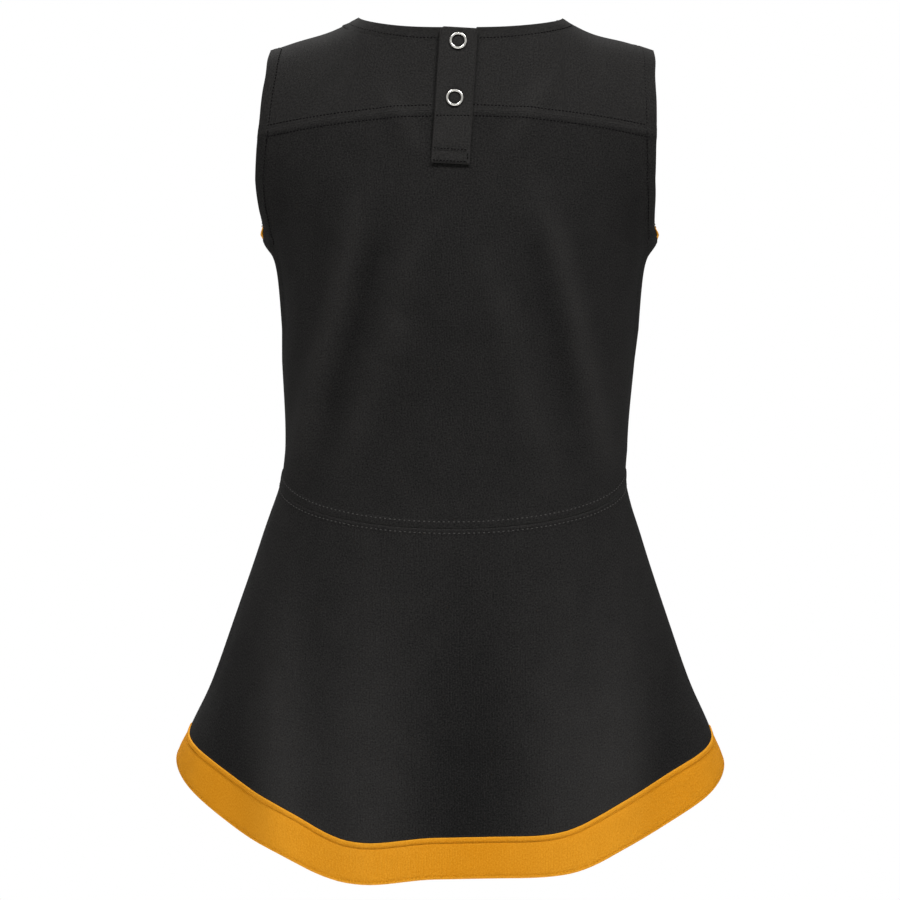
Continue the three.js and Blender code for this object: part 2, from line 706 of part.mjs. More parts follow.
node(
  "underlap_interfacing",
  geometryOf(
    interfacingSolid(
      UNDERLAP_FREE + POCKET_MARGIN,
      UNDERLAP_ROOT - POCKET_MARGIN,
      UNDERLAP_INNER + STRIP_PLY,
      -SEAM_LEG - POCKET_MARGIN,
    ),
  ),
  interlining,
  placket,
);

// snaps
const capProngEnd = SOCKET_TOP - PRONG_BITE;
const backProngEnd = FLANGE_TOP - STUD_FLANGE + PRONG_BITE - PRONG_CLEARANCE;
const snapShapes = {
  cap_ring: geometryOf(ringSolid(FLAP_OUTER + METAL_AIR, 1, capProngEnd)),
  socket: geometryOf(socketSolid()),
  stud: geometryOf(studSolid()),
  back_ring: geometryOf(ringSolid(UNDERLAP_INNER - METAL_AIR, -1, backProngEnd)),
};
for (const snap of SNAPS)
  for (const [piece, geometry] of Object.entries(snapShapes)) {
    const mesh = node(snap.name + "_snap_" + piece, geometry.clone(), nickel, placket);
    mesh.position.set(0, 0, snap.z);
  }

export default dress;
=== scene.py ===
"""Looks of a toddler's sleeveless cheer dress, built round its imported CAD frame.

Every size inside the builders is in millimetres and every mesh is written in metres. The back of the dress
faces +Y and the wearer's left is +X, as in the frame.
"""

import logging
import math
from collections.abc import Callable, Sequence
from dataclasses import dataclass, field
from enum import Enum

import bmesh
import bpy
import numpy as np
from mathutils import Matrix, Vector
from mathutils.kdtree import KDTree


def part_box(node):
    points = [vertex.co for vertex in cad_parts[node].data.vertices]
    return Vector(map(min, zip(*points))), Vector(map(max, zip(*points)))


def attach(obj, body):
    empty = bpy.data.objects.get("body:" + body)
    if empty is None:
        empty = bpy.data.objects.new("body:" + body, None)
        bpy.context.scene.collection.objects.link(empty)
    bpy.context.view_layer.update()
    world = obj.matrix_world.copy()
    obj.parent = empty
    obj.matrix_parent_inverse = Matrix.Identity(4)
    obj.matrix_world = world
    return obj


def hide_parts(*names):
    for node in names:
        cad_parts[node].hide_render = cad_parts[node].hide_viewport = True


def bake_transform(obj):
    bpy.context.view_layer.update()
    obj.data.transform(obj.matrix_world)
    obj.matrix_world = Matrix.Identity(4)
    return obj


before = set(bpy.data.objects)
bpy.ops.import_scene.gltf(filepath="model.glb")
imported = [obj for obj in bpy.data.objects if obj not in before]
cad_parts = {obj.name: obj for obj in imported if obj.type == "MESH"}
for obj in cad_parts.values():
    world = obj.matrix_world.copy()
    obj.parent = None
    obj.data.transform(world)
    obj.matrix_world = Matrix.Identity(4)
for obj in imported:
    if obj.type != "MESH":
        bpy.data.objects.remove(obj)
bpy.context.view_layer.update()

LOG = logging.getLogger("cheer_dress")
MM = 0.001
# the least side a sheet can be declared with; the neck facing is narrower
LEAST_SIDE = 10.0  # the least flat length logged for a piece of cloth; the neck facing is narrower
Array = np.ndarray
Value = bpy.types.NodeSocket | float | tuple
Line = Callable[[Array], Array]
Edge = Callable[[Array, Array], Array]


# ------------------------------------------------------------------ helpers


def linear(hex_colour: str) -> tuple[float, float, float, float]:
    """Turns an sRGB hex colour into linear RGBA."""
    values = [int(hex_colour[i : i + 2], 16) / 255 for i in (1, 3, 5)]
    flat = [v / 12.92 if v <= 0.04045 else ((v + 0.055) / 1.055) ** 2.4 for v in values]
    return (*flat, 1.0)


def smooth(value: Array | float, low: float, high: float) -> Array:
    """Smooth step from 0 at low to 1 at high."""
    t = np.clip((np.asarray(value, float) - low) / (high - low), 0, 1)
    return t * t * (3 - 2 * t)


def along(start: float, end: float) -> Callable[[float], float]:
    """The value at a share of the way from start to end."""
    return lambda share: start + share * (end - start)


def over_u(line: Line) -> Edge:
    """An edge at (u, |x|) from a line given over the columns u."""
    return lambda u, x: line(u)


def over_x(line: Line) -> Edge:
    """An edge at (u, |x|) from a line given over the distance |x| from the centre."""
    return lambda u, x: line(x)


def right_edge(z: Array) -> Array:
    """Column of the wearer's right edge at height z."""
    return -1.0 + 0 * z


def left_edge(z: Array) -> Array:
    """Column of the wearer's left edge at height z."""
    return 1.0 + 0 * z


def bell(distance: Array, width: float) -> Array:
    """Bell curve of height 1."""
    return np.exp(-((np.asarray(distance, float) / width) ** 2))


def unit(vectors: Array) -> Array:
    """Vectors along the last axis, scaled to length 1."""
    return vectors / np.maximum(np.linalg.norm(vectors, axis=-1, keepdims=True), 1e-12)


def graded(length: float, step: float, lead: float, tail: float, fine: float = 0.45) -> Array:
    """Places along a length, close together near its ends.

    Args:
        length: The whole length.
        step: The spacing in the middle.
        lead: How far the close spacing goes in from the start.
        tail: How far it goes in from the end.
        fine: The close spacing.

    Returns:
        Shares of the length from 0 to 1.
    """
    first = [0.0, 0.12, 0.3, 0.6]
    start = first + list(np.arange(first[-1] + fine, max(lead, first[-1] + fine), fine))
    end = [length - d for d in reversed(first + list(np.arange(0.6 + fine, max(tail, 0.6 + fine), fine)))]
    count = max(int(round((end[0] - start[-1]) / step)), 2)
    middle = list(np.linspace(start[-1], end[0], count + 1)[1:-1])
    return np.array(start + middle + end) / length


# ------------------------------------------------------------------ worn shape


class Side(Enum):
    """The half of the dress that a panel belongs to; the value is the sign of its depth."""

    BACK = 1
    FRONT = -1


class Profile:
    """A curve through stations of height, value and slope, by cubic pieces."""

    def __init__(self, *stations: tuple[float, float, float]) -> None:
        """Keeps the stations in rising order of height."""
        self.z, self.value, self.slope = np.array(sorted(stations), float).T

    def __call__(self, z: Array | float) -> Array:
        """The value at heights z, carried on straight past the ends."""
        z = np.asarray(z, float)
        i = np.clip(np.searchsorted(self.z, z) - 1, 0, len(self.z) - 2)
        span = self.z[i + 1] - self.z[i]
        t = np.clip((z - self.z[i]) / span, 0, 1)
        over = z - (self.z[i] + span * t)
        inside = (
            self.value[i] * (2 * t**3 - 3 * t**2 + 1)
            + self.slope[i] * span * (t**3 - 2 * t**2 + t)
            + self.value[i + 1] * (3 * t**2 - 2 * t**3)
            + self.slope[i + 1] * span * (t**3 - t**2)
        )
        return inside + over * np.where(t > 0.5, self.slope[i + 1], self.slope[i])


@dataclass
class WornShape:
    """The outer face of the cloth on the wearer, in millimetres, with its seams and edges."""

    neck_half_width: float = 56.4
    shoulder_slope: float = 0.407
    shoulder_round: float = 70
    neck_root_round: float = 20
    shoulder_tip_x: float = 105.5
    armhole_half_width: float = 110.8
    underarm: float = -125
    underarm_half_width: float = 107
    chest_half_width: float = 101
    waist_half_width: float = 95
    back_neck_depth: float = 45.3
    back_slope: float = 0.26
    straight_back: float = 84
    chest_depths: tuple[float, float] = (74, 73)
    waist_depths: tuple[float, float] = (66.5, 77.5)
    front_neck_depth: float = 44
    back_neck_drop: float = 6.7
    front_neck_drop: float = 52
    yoke_seam_centre: float = -52.8
    yoke_seam_drop: float = 11.5
    chevron_top: tuple[float, float] = (-92, -140)
    chevron_bottom: tuple[float, float] = (-128, -172)
    hem_flat_from: float = 25
    hem_turn: float = 0.15
    hem_slope: float = 0.49
    band_width: float = 22.8
    band_thick: float = 2.0
    cloth: float = 1.0
    seam_gap: float = 0.3
    sway: float = 3.4
    waist_side: float = field(init=False)
    waist_drop: float = field(init=False)
    hem_side: float = field(init=False)
    hem_drop: float = field(init=False)
    hem_half_width: float = field(init=False)
    hem_depths: tuple[float, float] = field(init=False)

    def __post_init__(self) -> None:
        """Takes the waist and the hem from the boxes of the CAD panels, then makes the profiles."""
        band_low, band_high = (np.array(c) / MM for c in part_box("back_hem_band"))
        front_low, _ = (np.array(c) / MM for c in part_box("front_hem_band"))
        _, skirt_high = (np.array(c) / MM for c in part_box("back_skirt"))
        bodice_low, _ = (np.array(c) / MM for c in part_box("back_bodice"))
        self.waist_side = float(skirt_high[2]) + self.seam_gap / 2
        self.waist_drop = self.waist_side - float(bodice_low[2]) + self.seam_gap / 2
        self.hem_side = float(band_high[2]) - self.band_width * math.hypot(1, self.hem_slope) + self.seam_gap / 2
        self.hem_drop = (self.hem_side - float(band_low[2])) / self._hem_share(0.0)
        self.hem_half_width = float(band_high[0])
        self.hem_depths = (float(band_high[1]) + 1, -float(front_low[1]) + 1)
        self._make_profiles()

    def _hem_share(self, u: Array | float) -> Array:
        """How far the hem is down at column u, from 0 at the side seam to about 1 at the centre."""
        share = (1 - np.abs(u)) * 90 / (90 - self.hem_flat_from)
        risen = share**1.15
        return risen - 0.5 * (risen - 1 + np.hypot(risen - 1, self.hem_turn))

    def _make_profiles(self) -> None:
        """Profiles of half width and depth over the height."""
        lowest = self.hem_side - self.hem_drop - 4
        trunk = along(self.underarm, self.waist_side)
        skirt = along(self.waist_side, self.hem_side)
        flare = along(self.waist_half_width, self.hem_half_width)
        wide, chest, waist = self.underarm_half_width, self.chest_half_width, self.waist_half_width
        self.half_width = Profile(
            (0, wide + 163, 3),
            (0.16 * self.underarm, wide + 108, 2.6),
            (0.575 * self.underarm, wide + 27, 0.7),
            (self.underarm, wide, 0.45),
            (trunk(0.19), chest, 0.1),
            (trunk(0.5), (chest + waist) / 2, 0.07),
            (trunk(0.88), waist, 0),
            (skirt(0.04), flare(0.03), -0.26),
            (skirt(0.217), flare(0.186), -0.31),
            (skirt(0.535), flare(0.478), -0.34),
            (skirt(0.758), flare(0.7), -0.42),
            (self.hem_side, self.hem_half_width, -0.36),
            (lowest, self.hem_half_width + 15.5, -0.2),
        )
        self.armhole_x = Profile(
            (0.16 * self.underarm, self.shoulder_tip_x, -0.18),
            (0.4 * self.underarm, self.armhole_half_width - 1, -0.05),
            (0.76 * self.underarm, self.armhole_half_width, 0.03),
            (self.underarm, wide, 0.15),
        )
        (back_chest, front_chest), (back_waist, front_waist) = self.chest_depths, self.waist_depths
        back_hem, front_hem = self.hem_depths
        straight = self.straight_back
        self.back_depth = Profile(
            (0, self.back_neck_depth, -self.back_slope),
            (-straight, self.back_neck_depth + straight * self.back_slope, -self.back_slope),
            (trunk(0.115), back_chest, 0),
            (trunk(0.82), back_waist, 0.02),
            (skirt(0.1), back_waist + 0.5, -0.08),
            (skirt(0.47), back_waist + 0.23 * (back_hem - back_waist), -0.17),
            (lowest, back_hem, -0.2),
        )
        neck = self.front_neck_depth
        self.front_depth = Profile(
            (0, neck, -0.34),
            (0.48 * self.underarm, neck + 0.62 * (front_chest - neck), -0.24),
            (self.underarm, front_chest, -0.08),
            (trunk(0.69), front_waist - 0.5, 0),
            (skirt(0.18), front_waist + 1.5, -0.09),
            (skirt(0.535), front_waist + 0.25 * (front_hem - front_waist), -0.17),
            (lowest, front_hem, -0.2),
        )

    def shoulder_line(self, x: Array | float) -> Array:
        """Height of the shoulder line at a distance from the centre."""
        peak = math.hypot(self.neck_half_width, self.neck_root_round)
        return self.shoulder_slope * (peak - np.hypot(x, self.neck_root_round))

    def roll(self, below: Array | float) -> Array:
        """Quarter-round roll of the cloth below the shoulder line."""
        t = np.clip(np.asarray(below, float) / self.shoulder_round, 0, 1)
        return np.sqrt(1 - (1 - t) ** 2)

    def depth(self, side: Side, x: Array, z: Array) -> Array:
        """Distance of the outer face from the side seams' plane."""
        ratio = np.minimum(np.abs(x) / self.half_width(z), 1)
        rolled = self.roll(self.shoulder_line(x) - z) / self.roll(self.shoulder_line(0.0) - z)
        profile = self.back_depth if side is Side.BACK else self.front_depth
        return profile(z) * np.sqrt(1 - ratio**2) * rolled

    def base(self, side: Side, u: Array, z: Array) -> Array:
        """Points of the smooth worn shape; u runs from the wearer's right edge, -1, to the left, 1."""
        half = self.half_width(z)
        arm = np.minimum(self.armhole_x(np.minimum(z, 0.16 * self.underarm)), half)
        edge = np.where(z > self.underarm, arm, half)
        x = half * np.sin(u * np.arcsin(edge / half))
        y = side.value * self.depth(side, x, z)
        return np.stack([x, y, z + 0 * x], -1)

    def normal(self, side: Side, u: Array, z: Array) -> Array:
        """Outward normals of the smooth worn shape."""
        e, h = 2e-3, 0.25
        u_low, u_high = np.maximum(u - e, -1), np.minimum(u + e, 1)
        top = self.shoulder_line(self.base(side, u, z)[..., 0])
        z_high = np.minimum(z + h, np.maximum(top, z))
        across = self.base(side, u_high, z) - self.base(side, u_low, z)
        down = self.base(side, u, z - h) - self.base(side, u, z_high)
        return unit(np.cross(across, down)) * side.value

    def neckline(self, side: Side) -> Callable[[Array], Array]:
        """Height of the neck edge over the distance from the centre."""
        drop, square = (self.back_neck_drop, 3) if side is Side.BACK else (self.front_neck_drop, 2.2)
        reach = self.neck_half_width
        return lambda x: -drop * (1 - np.minimum(x / reach, 1) ** square) ** (1 / 1.5)

    def yoke_top(self, side: Side) -> Callable[[Array], Array]:
        """Upper edge of a yoke: the neckline, then the shoulder seam."""
        neck = self.neckline(side)
        return lambda x: np.where(x < self.neck_half_width, neck(x), self.shoulder_line(x))

    def yoke_seam(self, x: Array) -> Array:
        """Height of the seam under the back yoke."""
        return self.yoke_seam_centre - self.yoke_seam_drop * (x / self.shoulder_tip_x) ** 2

    def chevron(self, line: tuple[float, float]) -> Callable[[Array], Array]:
        """Height of one edge of the chevron band over the distance from the centre."""
        side, centre = line
        return lambda x: centre + (side - centre) * np.minimum(x / self.shoulder_tip_x, 1.03)

    def waist(self, u: Array) -> Array:
        """Height of the waist seam at column u."""
        return self.waist_side - self.waist_drop * np.cos(u * np.pi / 2)

    def hem(self, u: Array) -> Array:
        """Height of the hem at column u."""
        return self.hem_side - self.hem_drop * self._hem_share(u)

    def band_top(self, u: Array) -> Array:
        """Height of the seam above the hem band at column u."""
        slanted = smooth(np.abs(u), 0.15, 0.35)
        return self.hem(u) + self.band_width * np.hypot(1, self.hem_slope * slanted) - 8 * smooth(np.abs(u), 0.5, 1)


@dataclass(frozen=True)
class Fold:
    """A soft ridge of the worn cloth from one point to another, given as x and height."""

    start: tuple[float, float]
    end: tuple[float, float]
    width: float
    height: float

    def lift(self, x: Array, z: Array) -> Array:
        """How far the cloth stands out at places x, z."""
        along = np.array(self.end, float) - self.start
        length = math.hypot(*along)
        along /= length
        t = (x - self.start[0]) * along[0] + (z - self.start[1]) * along[1]
        off = (x - self.start[0]) * along[1] - (z - self.start[1]) * along[0]
        fade = smooth(t, 0, 0.3 * length) * (1 - smooth(t, 0.7 * length, length))
        return self.height * bell(off, self.width) * fade


@dataclass
class Drape:
    """How the cloth departs from the smooth worn shape: its folds, the sway of the skirt and the wavy hem."""

    shape: WornShape
    folds: dict[Side, list[Fold]]
    sway: tuple[tuple[float, float], ...] = (
        (-458, 4.0),
        (-391, 3.6),
        (-324, 3.3),
        (-274, 2.8),
        (-258, 2.0),
        (-241, 0.4),
        (-191, -0.7),
        (-174, -1.8),
        (-124, -1.8),
        (-108, 0.0),
        (-91, 1.0),
        (-74, 0.4),
        (-58, -0.6),
        (-41, -1.3),
        (-20, -2.8),
        (0, -2.0),
    )
    hem_rise: tuple[tuple[float, float], ...] = (
        (-150, 0.8),
        (-124, 4.6),
        (-97, 5.2),
        (-84, 3.4),
        (-71, 1.2),
        (-57, 1.2),
        (-44, 1.6),
        (-24, 3.0),
        (3, 3.2),
        (23, 1.8),
        (36, -1.4),
        (56, -3.4),
        (69, -1.4),
        (83, 0.6),
        (96, 2.8),
        (123, 3.2),
        (136, 4.6),
        (150, 4.6),
    )
    flutes: tuple[tuple[float, float, float], ...] = (
        (94, 12, 5.0),
        (-92, 14, 4.2),
        (46, 20, 3.4),
        (-64, 18, 3.0),
        (-10, 24, -3.4),
        (124, 12, -2.4),
        (-122, 12, -2.4),
    )

    def lift(self, side: Side, u: Array, x: Array, z: Array) -> Array:
        """Outward distance from the smooth shape."""
        total = sum((fold.lift(x, z) for fold in self.folds[side]), 0 * x)
        down = smooth(-z, -self.shape.waist_side, -self.shape.hem_side + 30)
        for place, width, height in self.flutes:
            total = total + height * down * bell(x - side.value * place, width * (0.6 + 0.7 * down))
        return total * smooth(1 - np.abs(u), 0, 0.1)

    def point(self, side: Side, u: Array, z: Array, lift: Array | float = 0.0) -> Array:
        """Points of the draped cloth, in millimetres, raised by lift from its outer face."""
        shape = self.shape
        base = shape.base(side, u, z)
        x = base[..., 0]
        out = shape.normal(side, u, z)
        point = base + out * (self.lift(side, u, x, z) + lift)[..., None]
        heights, shifts = np.array(self.sway).T
        whole = np.maximum(smooth(np.abs(x), 18, 55), smooth(-z, -shape.waist_side - 60, -shape.waist_side))
        shift = np.interp(z, heights, shifts) * whole
        edge = smooth(np.abs(u), 0.86, 1.0) * np.sign(u)
        tuck = 2.4 * bell(z - shape.underarm + 1, 6.0) + 1.3 * bell(z + 24, 7.0) - 1.0 * bell(z + 402, 12.0)
        if side is Side.FRONT:
            above = z - shape.underarm
            tuck = tuck + 2.0 * bell(above - 4, 4.0) * smooth(above, 0, 3)
        point[..., 0] += shift + edge * tuck
        places, rises = np.array(self.hem_rise).T
        rise = sum(np.interp(point[..., 0] + d, places, rises) for d in (-9, -3, 3, 9)) / 4
        point[..., 2] += rise * smooth(-z, -shape.hem_side - 45, -shape.hem_side + 8)
        point[..., 2] -= np.where(x < 0, 3.4, 2.4) * bell(np.abs(x) - 72, 17) * smooth(z, -50, -6)
        return point


# ------------------------------------------------------------------ placket frame


@dataclass
class Placket:
    """The leaning plane of the back placket and its sizes, in millimetres."""

    top: tuple[float, float] = (-1.2, -5.8)
    lean: float = math.radians(3.4)
    root: float = -10.3
    free_top: float = 10.6
    free_bottom: float = 11.0
    corner: float = 3.0
    length: float = 78.3
    split: float = 70.7
    underlap_free: float = -9.3
    underlap_root: float = 6.9
    slit_right: float = -9.7
    slit_left: float = 6.97
    slit_length: float = 73.0
    flap_levels: tuple[float, float] = (0.3, 2.8)
    underlap_levels: tuple[float, float] = (-4.65, -2.15)
    snaps: tuple[float, float] = (-8.2, -41.0)
    slide: float = -1.3

    def attach(self, shape: WornShape) -> None:
        """Sets the plane against the worn shape of the back."""
        slope, b = math.atan(shape.back_slope), -self.lean
        turn_x = np.array([[1, 0, 0], [0, math.cos(slope), -math.sin(slope)], [0, math.sin(slope), math.cos(slope)]])
        turn_y = np.array([[math.cos(b), 0, math.sin(b)], [0, 1, 0], [-math.sin(b), 0, math.cos(b)]])
        self.turn = turn_x @ turn_y
        depth = shape.seam_gap / 2 + float(shape.back_depth(self.top[1]))
        self.origin = np.array([self.top[0], depth, self.top[1]])

    def world(self, local: Array) -> Array:
        """Points of the placket's own frame in the frame of the dress."""
        return (np.asarray(local, float) + [0, 0, self.slide]) @ self.turn.T + self.origin

    def local_height(self, z: Array, across: float) -> Array:
        """Height in the placket's frame of the cloth at height z."""
        return (z - self.origin[2] - self.turn[2, 0] * across) / self.turn[2, 2]

    def line(self, across: float) -> Callable[[Array], Array]:
        """x over height z of a line that runs down the placket."""
        return lambda z: self.origin[0] + self.turn[0, 0] * across + self.turn[0, 2] * self.local_height(z, across)

    def free_edge(self, down: Array | float) -> Array:
        """Free edge of the flap at a distance from its top, rounded at the top corner."""
        edge = self.free_top + (self.free_bottom - self.free_top) * np.asarray(down, float) / self.length
        inside = np.clip(self.corner - down, 0, self.corner)
        return edge - (self.corner - np.sqrt(self.corner**2 - inside**2))

    def bend(self, piece: bpy.types.Object, body: str) -> None:
        """Works out the span between the sewn foot and the lower snap where a strip would bend, and bakes the piece's
        transform into its mesh.
        """
        start, end = (Vector(self.world([0, 0, -d]) * MM) for d in (self.split + 0.3, self.split - 20))
        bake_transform(piece)


# ------------------------------------------------------------------ meshes


def mesh_object(name: str, points: Array, faces: Sequence, material: bpy.types.Material) -> bpy.types.Object:
    """A smooth-shaded mesh object from points in millimetres."""
    mesh = bpy.data.meshes.new(name)
    mesh.from_pydata((np.asarray(points, float) * MM).tolist(), [], [list(map(int, f)) for f in faces])
    mesh.validate()
    mesh.shade_smooth()
    mesh.materials.append(material)
    piece = bpy.data.objects.new(name, mesh)
    bpy.context.scene.collection.objects.link(piece)
    return piece


def put_attribute(piece: bpy.types.Object, name: str, values: Array) -> None:
    """Stores one float per vertex."""
    layer = piece.data.attributes.new(name, "FLOAT", "POINT")
    layer.data.foreach_set("value", np.asarray(values, np.float32))


def put_uv(piece: bpy.types.Object, uv: Array) -> None:
    """Stores the flat place of each vertex, in millimetres."""
    layer = piece.data.uv_layers.new(name="cut")
    corners = np.empty(len(piece.data.loops), np.int64)
    piece.data.loops.foreach_get("vertex_index", corners)
    layer.data.foreach_set("uv", np.asarray(uv, np.float32)[corners].ravel())


def grid_faces(rows: int, columns: int, keep: Array | None) -> Array:
    """Quads of a grid, without the ones that keep leaves out."""
    i, j = np.meshgrid(np.arange(rows - 1), np.arange(columns - 1), indexing="ij")
    a = i * columns + j
    quads = np.stack([a, a + columns, a + columns + 1, a + 1], -1)
    return quads[keep] if keep is not None else quads.reshape(-1, 4)


def border(faces: Array) -> Array:
    """Directed edges that only one of the quads has."""
    edges = np.concatenate([faces[:, [k, (k + 1) % 4]] for k in range(4)])
    key = np.sort(edges, 1)
    _, first, count = np.unique(key, axis=0, return_index=True, return_counts=True)
    return edges[first[count == 1]]


def arc_lengths(grid: Array) -> Array:
    """Flat place of each grid point: length along its row from the middle column and down its column."""
    across = np.linalg.norm(np.diff(grid, axis=1), axis=-1)
    down = np.linalg.norm(np.diff(grid, axis=0), axis=-1)
    x = np.concatenate([np.zeros((grid.shape[0], 1)), np.cumsum(across, 1)], 1)
    y = np.concatenate([np.zeros((1, grid.shape[1])), np.cumsum(down, 0)], 0)
    x = x - x[:, [grid.shape[1] // 2]]
    return np.stack([x, -y], -1)


def rounded(distance: Array, radius: float) -> Array:
    """How far a face drops near its edge so that the edge is a quarter round."""
    inside = 1 - np.clip(distance / radius, 0, 1)
    return radius * (1 - np.sqrt(1 - inside**2))


def close_shell(top: Array, bottom: Array, faces: Array, edges: Array) -> tuple[Array, Array]:
    """Joins two grids into one closed shell, with the first one facing out."""
    count = top.shape[0] * top.shape[1]
    points = np.concatenate([top.reshape(-1, 3), bottom.reshape(-1, 3)])
    walls = np.stack([edges[:, 1], edges[:, 0], edges[:, 0] + count, edges[:, 1] + count], -1)
    quads = np.concatenate([faces, faces[:, ::-1] + count, walls])
    middle = faces[len(faces) // 2]
    a, b, c, d = points[middle]
    facing = np.dot(np.cross(c - a, d - b), a - points[middle[0] + count])
    return points, quads if facing > 0 else quads[:, ::-1]


@dataclass
class Cloth:
    """A shell of cloth between two grids, with its border closed.

    Attributes:
        name: The name of the piece.
        outer: Grid of points of the outer face, in millimetres.
        out: Outward directions at those points.
        thick: Thickness.
        lip: Radius of its rounded edges.
        keep: Which quads there are, where some are left out.
        relief: Extra height of the outer face.
        plies: 2 where the cloth is folded double, with a thin space between the plies.
        tone: Painted light and shade: how far each place stands out in the folds, plus a painted brightening of the
            whole piece; the colour is brightened on ridges and darkened in hollows.
    """

    name: str
    outer: Array
    out: Array
    thick: float
    lip: float = 0.35
    keep: Array | None = None
    relief: Array | float = 0.0
    plies: int = 1
    tone: Array | float = 0.0

    def build(self, material: bpy.types.Material) -> bpy.types.Object:
        """Makes the mesh, its flat places and its edge distances."""
        rows, columns = self.outer.shape[:2]
        faces = grid_faces(rows, columns, self.keep)
        edges = border(faces)
        flat = self.outer.reshape(-1, 3)
        near = nearest(flat, flat[edges[:, 0]]).reshape(rows, columns)
        drop = rounded(near, self.lip)[..., None]
        relief = np.broadcast_to(np.asarray(self.relief, float), near.shape)[..., None]
        outside = self.outer + self.out * (relief - drop)
        inside = self.outer - self.out * (self.thick - drop)
        points, quads = close_shell(outside, inside, faces, edges)
        uv = arc_lengths(self.outer).reshape(-1, 2)
        uvs, distances = [uv, uv], [near.ravel(), near.ravel()]
        # painted light and shade: the fold lift per vertex, which brightens the colour on ridges and darkens it in
        # hollows
        tone = np.broadcast_to(np.asarray(self.tone, float), near.shape).ravel()
        if self.plies == 2:
            m = slice(2, -2)
            top = (self.outer - self.out * (self.thick / 2 - 0.05))[m, m]
            bottom = (self.outer - self.out * (self.thick / 2 + 0.05))[m, m]
            hollow = grid_faces(rows - 4, columns - 4, None)
            more, more_quads = close_shell(bottom, top, hollow, border(hollow))
            quads = np.concatenate([quads, more_quads + len(points)])
            points = np.concatenate([points, more])
            inner_uv = uv.reshape(rows, columns, 2)[m, m].reshape(-1, 2)
            uvs += [inner_uv, inner_uv]
            distances += [np.full(len(inner_uv), 9.0)] * 2
        piece = mesh_object(self.name, points, quads, material)
        put_attribute(piece, "edge", np.concatenate(distances))
        # only the outer face carries the painted fold light and shade, in the fold attribute
        painted_fold_light_values = np.concatenate([tone, 0 * tone])
        put_attribute(piece, "fold", np.concatenate([painted_fold_light_values, np.zeros(len(points) - len(painted_fold_light_values))]))
        put_uv(piece, np.concatenate(uvs))
        return piece


def nearest(points: Array, targets: Array) -> Array:
    """Distance from each point to the nearest target, through a search tree."""
    tree = KDTree(len(targets))
    for i, target in enumerate(targets):
        tree.insert(target, i)
    tree.balance()
    return np.array([tree.find(p)[2] for p in points])


def declare(piece: bpy.types.Object, outer: Array, plies: int = 1) -> None:
    """Declares a piece of cloth as a sheet with the flat size its grid gives, at least LEAST_SIDE each way."""
    uv = arc_lengths(outer)
    a, b, c, d = outer[:-1, :-1], outer[1:, :-1], outer[1:, 1:], outer[:-1, 1:]
    area = float(0.5 * np.linalg.norm(np.cross(c - a, d - b), axis=-1).sum()) * plies
    width = float(np.ptp(uv[..., 0], axis=1).max())
    length = max(float(np.ptp(uv[..., 1], axis=0).max()) * plies, LEAST_SIDE)
    length = max(length, area / width / 0.999)
    LOG.info("sheet %s: flat %.1f x %.1f mm, area %.0f mm2", piece.name, width, length, area)


# ------------------------------------------------------------------ panels


@dataclass
class Grid:
    """A grid of places on one side of the dress with the points, directions and distances there."""

    side: Side
    u: Array
    z: Array
    drape: Drape

    def __post_init__(self) -> None:
        """Works out the points and the outward directions."""
        self.points = self.drape.point(self.side, self.u, self.z)
        lifted = self.drape.point(self.side, self.u, self.z, 1.0)
        self.out = unit(lifted - self.points)
        x = self.drape.shape.base(self.side, self.u, self.z)[..., 0]
        # painted light and shade: the lift of the folds, used later to brighten the colour on ridges and darken it in
        # hollows
        self.tone = self.drape.lift(self.side, self.u, x, self.z)

    def below(self) -> Array:
        """Distance down each column from the top edge."""
        return -arc_lengths(self.points)[..., 1]

    def above(self) -> Array:
        """Distance up each column from the bottom edge."""
        down = self.below()
        return down[-1:] - down


class PanelCutter:
    """Cuts panels out of the draped dress as grids whose rows and columns crowd towards the edges."""

    def __init__(self, drape: Drape) -> None:
        """Keeps the drape."""
        self.drape = drape
        self.shape = drape.shape

    def u_of_x(self, x: Array, z: Array) -> Array:
        """Column at which the dress has half breadth x at height z."""
        shape = self.shape
        half = shape.half_width(z)
        arm = np.minimum(shape.armhole_x(np.minimum(z, 0.16 * shape.underarm)), half)
        edge = np.where(z > shape.underarm, arm, half)
        return np.arcsin(np.clip(x / half, -1, 1)) / np.arcsin(edge / half)

    def between(
        self,
        side: Side,
        s: Array,
        rows: Array,
        top: Edge,
        bottom: Edge,
        low: Line = right_edge,
        high: Line = left_edge,
    ) -> Grid:
        """A grid between two column lines and two seams.

        Args:
            side: Back or front.
            s: Shares across.
            rows: Shares down.
            top: Height of the upper edge at (u, |x|).
            bottom: Height of the lower edge at (u, |x|).
            low: Column of the first edge over the height.
            high: Column of the last edge over the height.

        Returns:
            The grid.
        """

        def u_at(z: Array) -> Array:
            """Columns of the grid at heights z."""
            return low(z) + (high(z) - low(z)) * s

        def reach(edge: Edge) -> Array:
            """Heights at which the columns meet an edge."""
            z = np.full(s.shape, -60.0)
            for _ in range(40):
                u = u_at(z)
                x = np.abs(self.shape.base(side, u, z)[..., 0])
                z = 0.5 * z + 0.5 * edge(u, x)
            return z

        z_top, z_bottom = reach(top), reach(bottom)
        z = z_top[None] + (z_bottom - z_top)[None] * rows[:, None]
        u = low(z) + (high(z) - low(z)) * s[None]
        return Grid(side, u, z, self.drape)


def turned_hem(distance: Array, width: float = 7.0) -> Array:
    """Relief of an edge turned under once and stitched down."""
    return 0.38 * (1 - smooth(distance, width - 0.1, width + 0.7)) - 0.25 * bell(distance - width + 0.6, 0.45)


def seam_band(distance: Array, row: float, height: float, groove: float = 0.22) -> Array:
    """Relief beside a seam whose allowance is stitched down in a row at some distance."""
    return height * (1 - smooth(distance, row + 0.2, row + 1.3)) - groove * bell(distance - row, 0.45)


@dataclass(frozen=True)
class Row:
    """A row of stitches: its points, the outward directions there and how it is sewn."""

    points: Array
    out: Array
    pitch: float = 2.0
    length: float = 1.25
    radius: float = 0.25


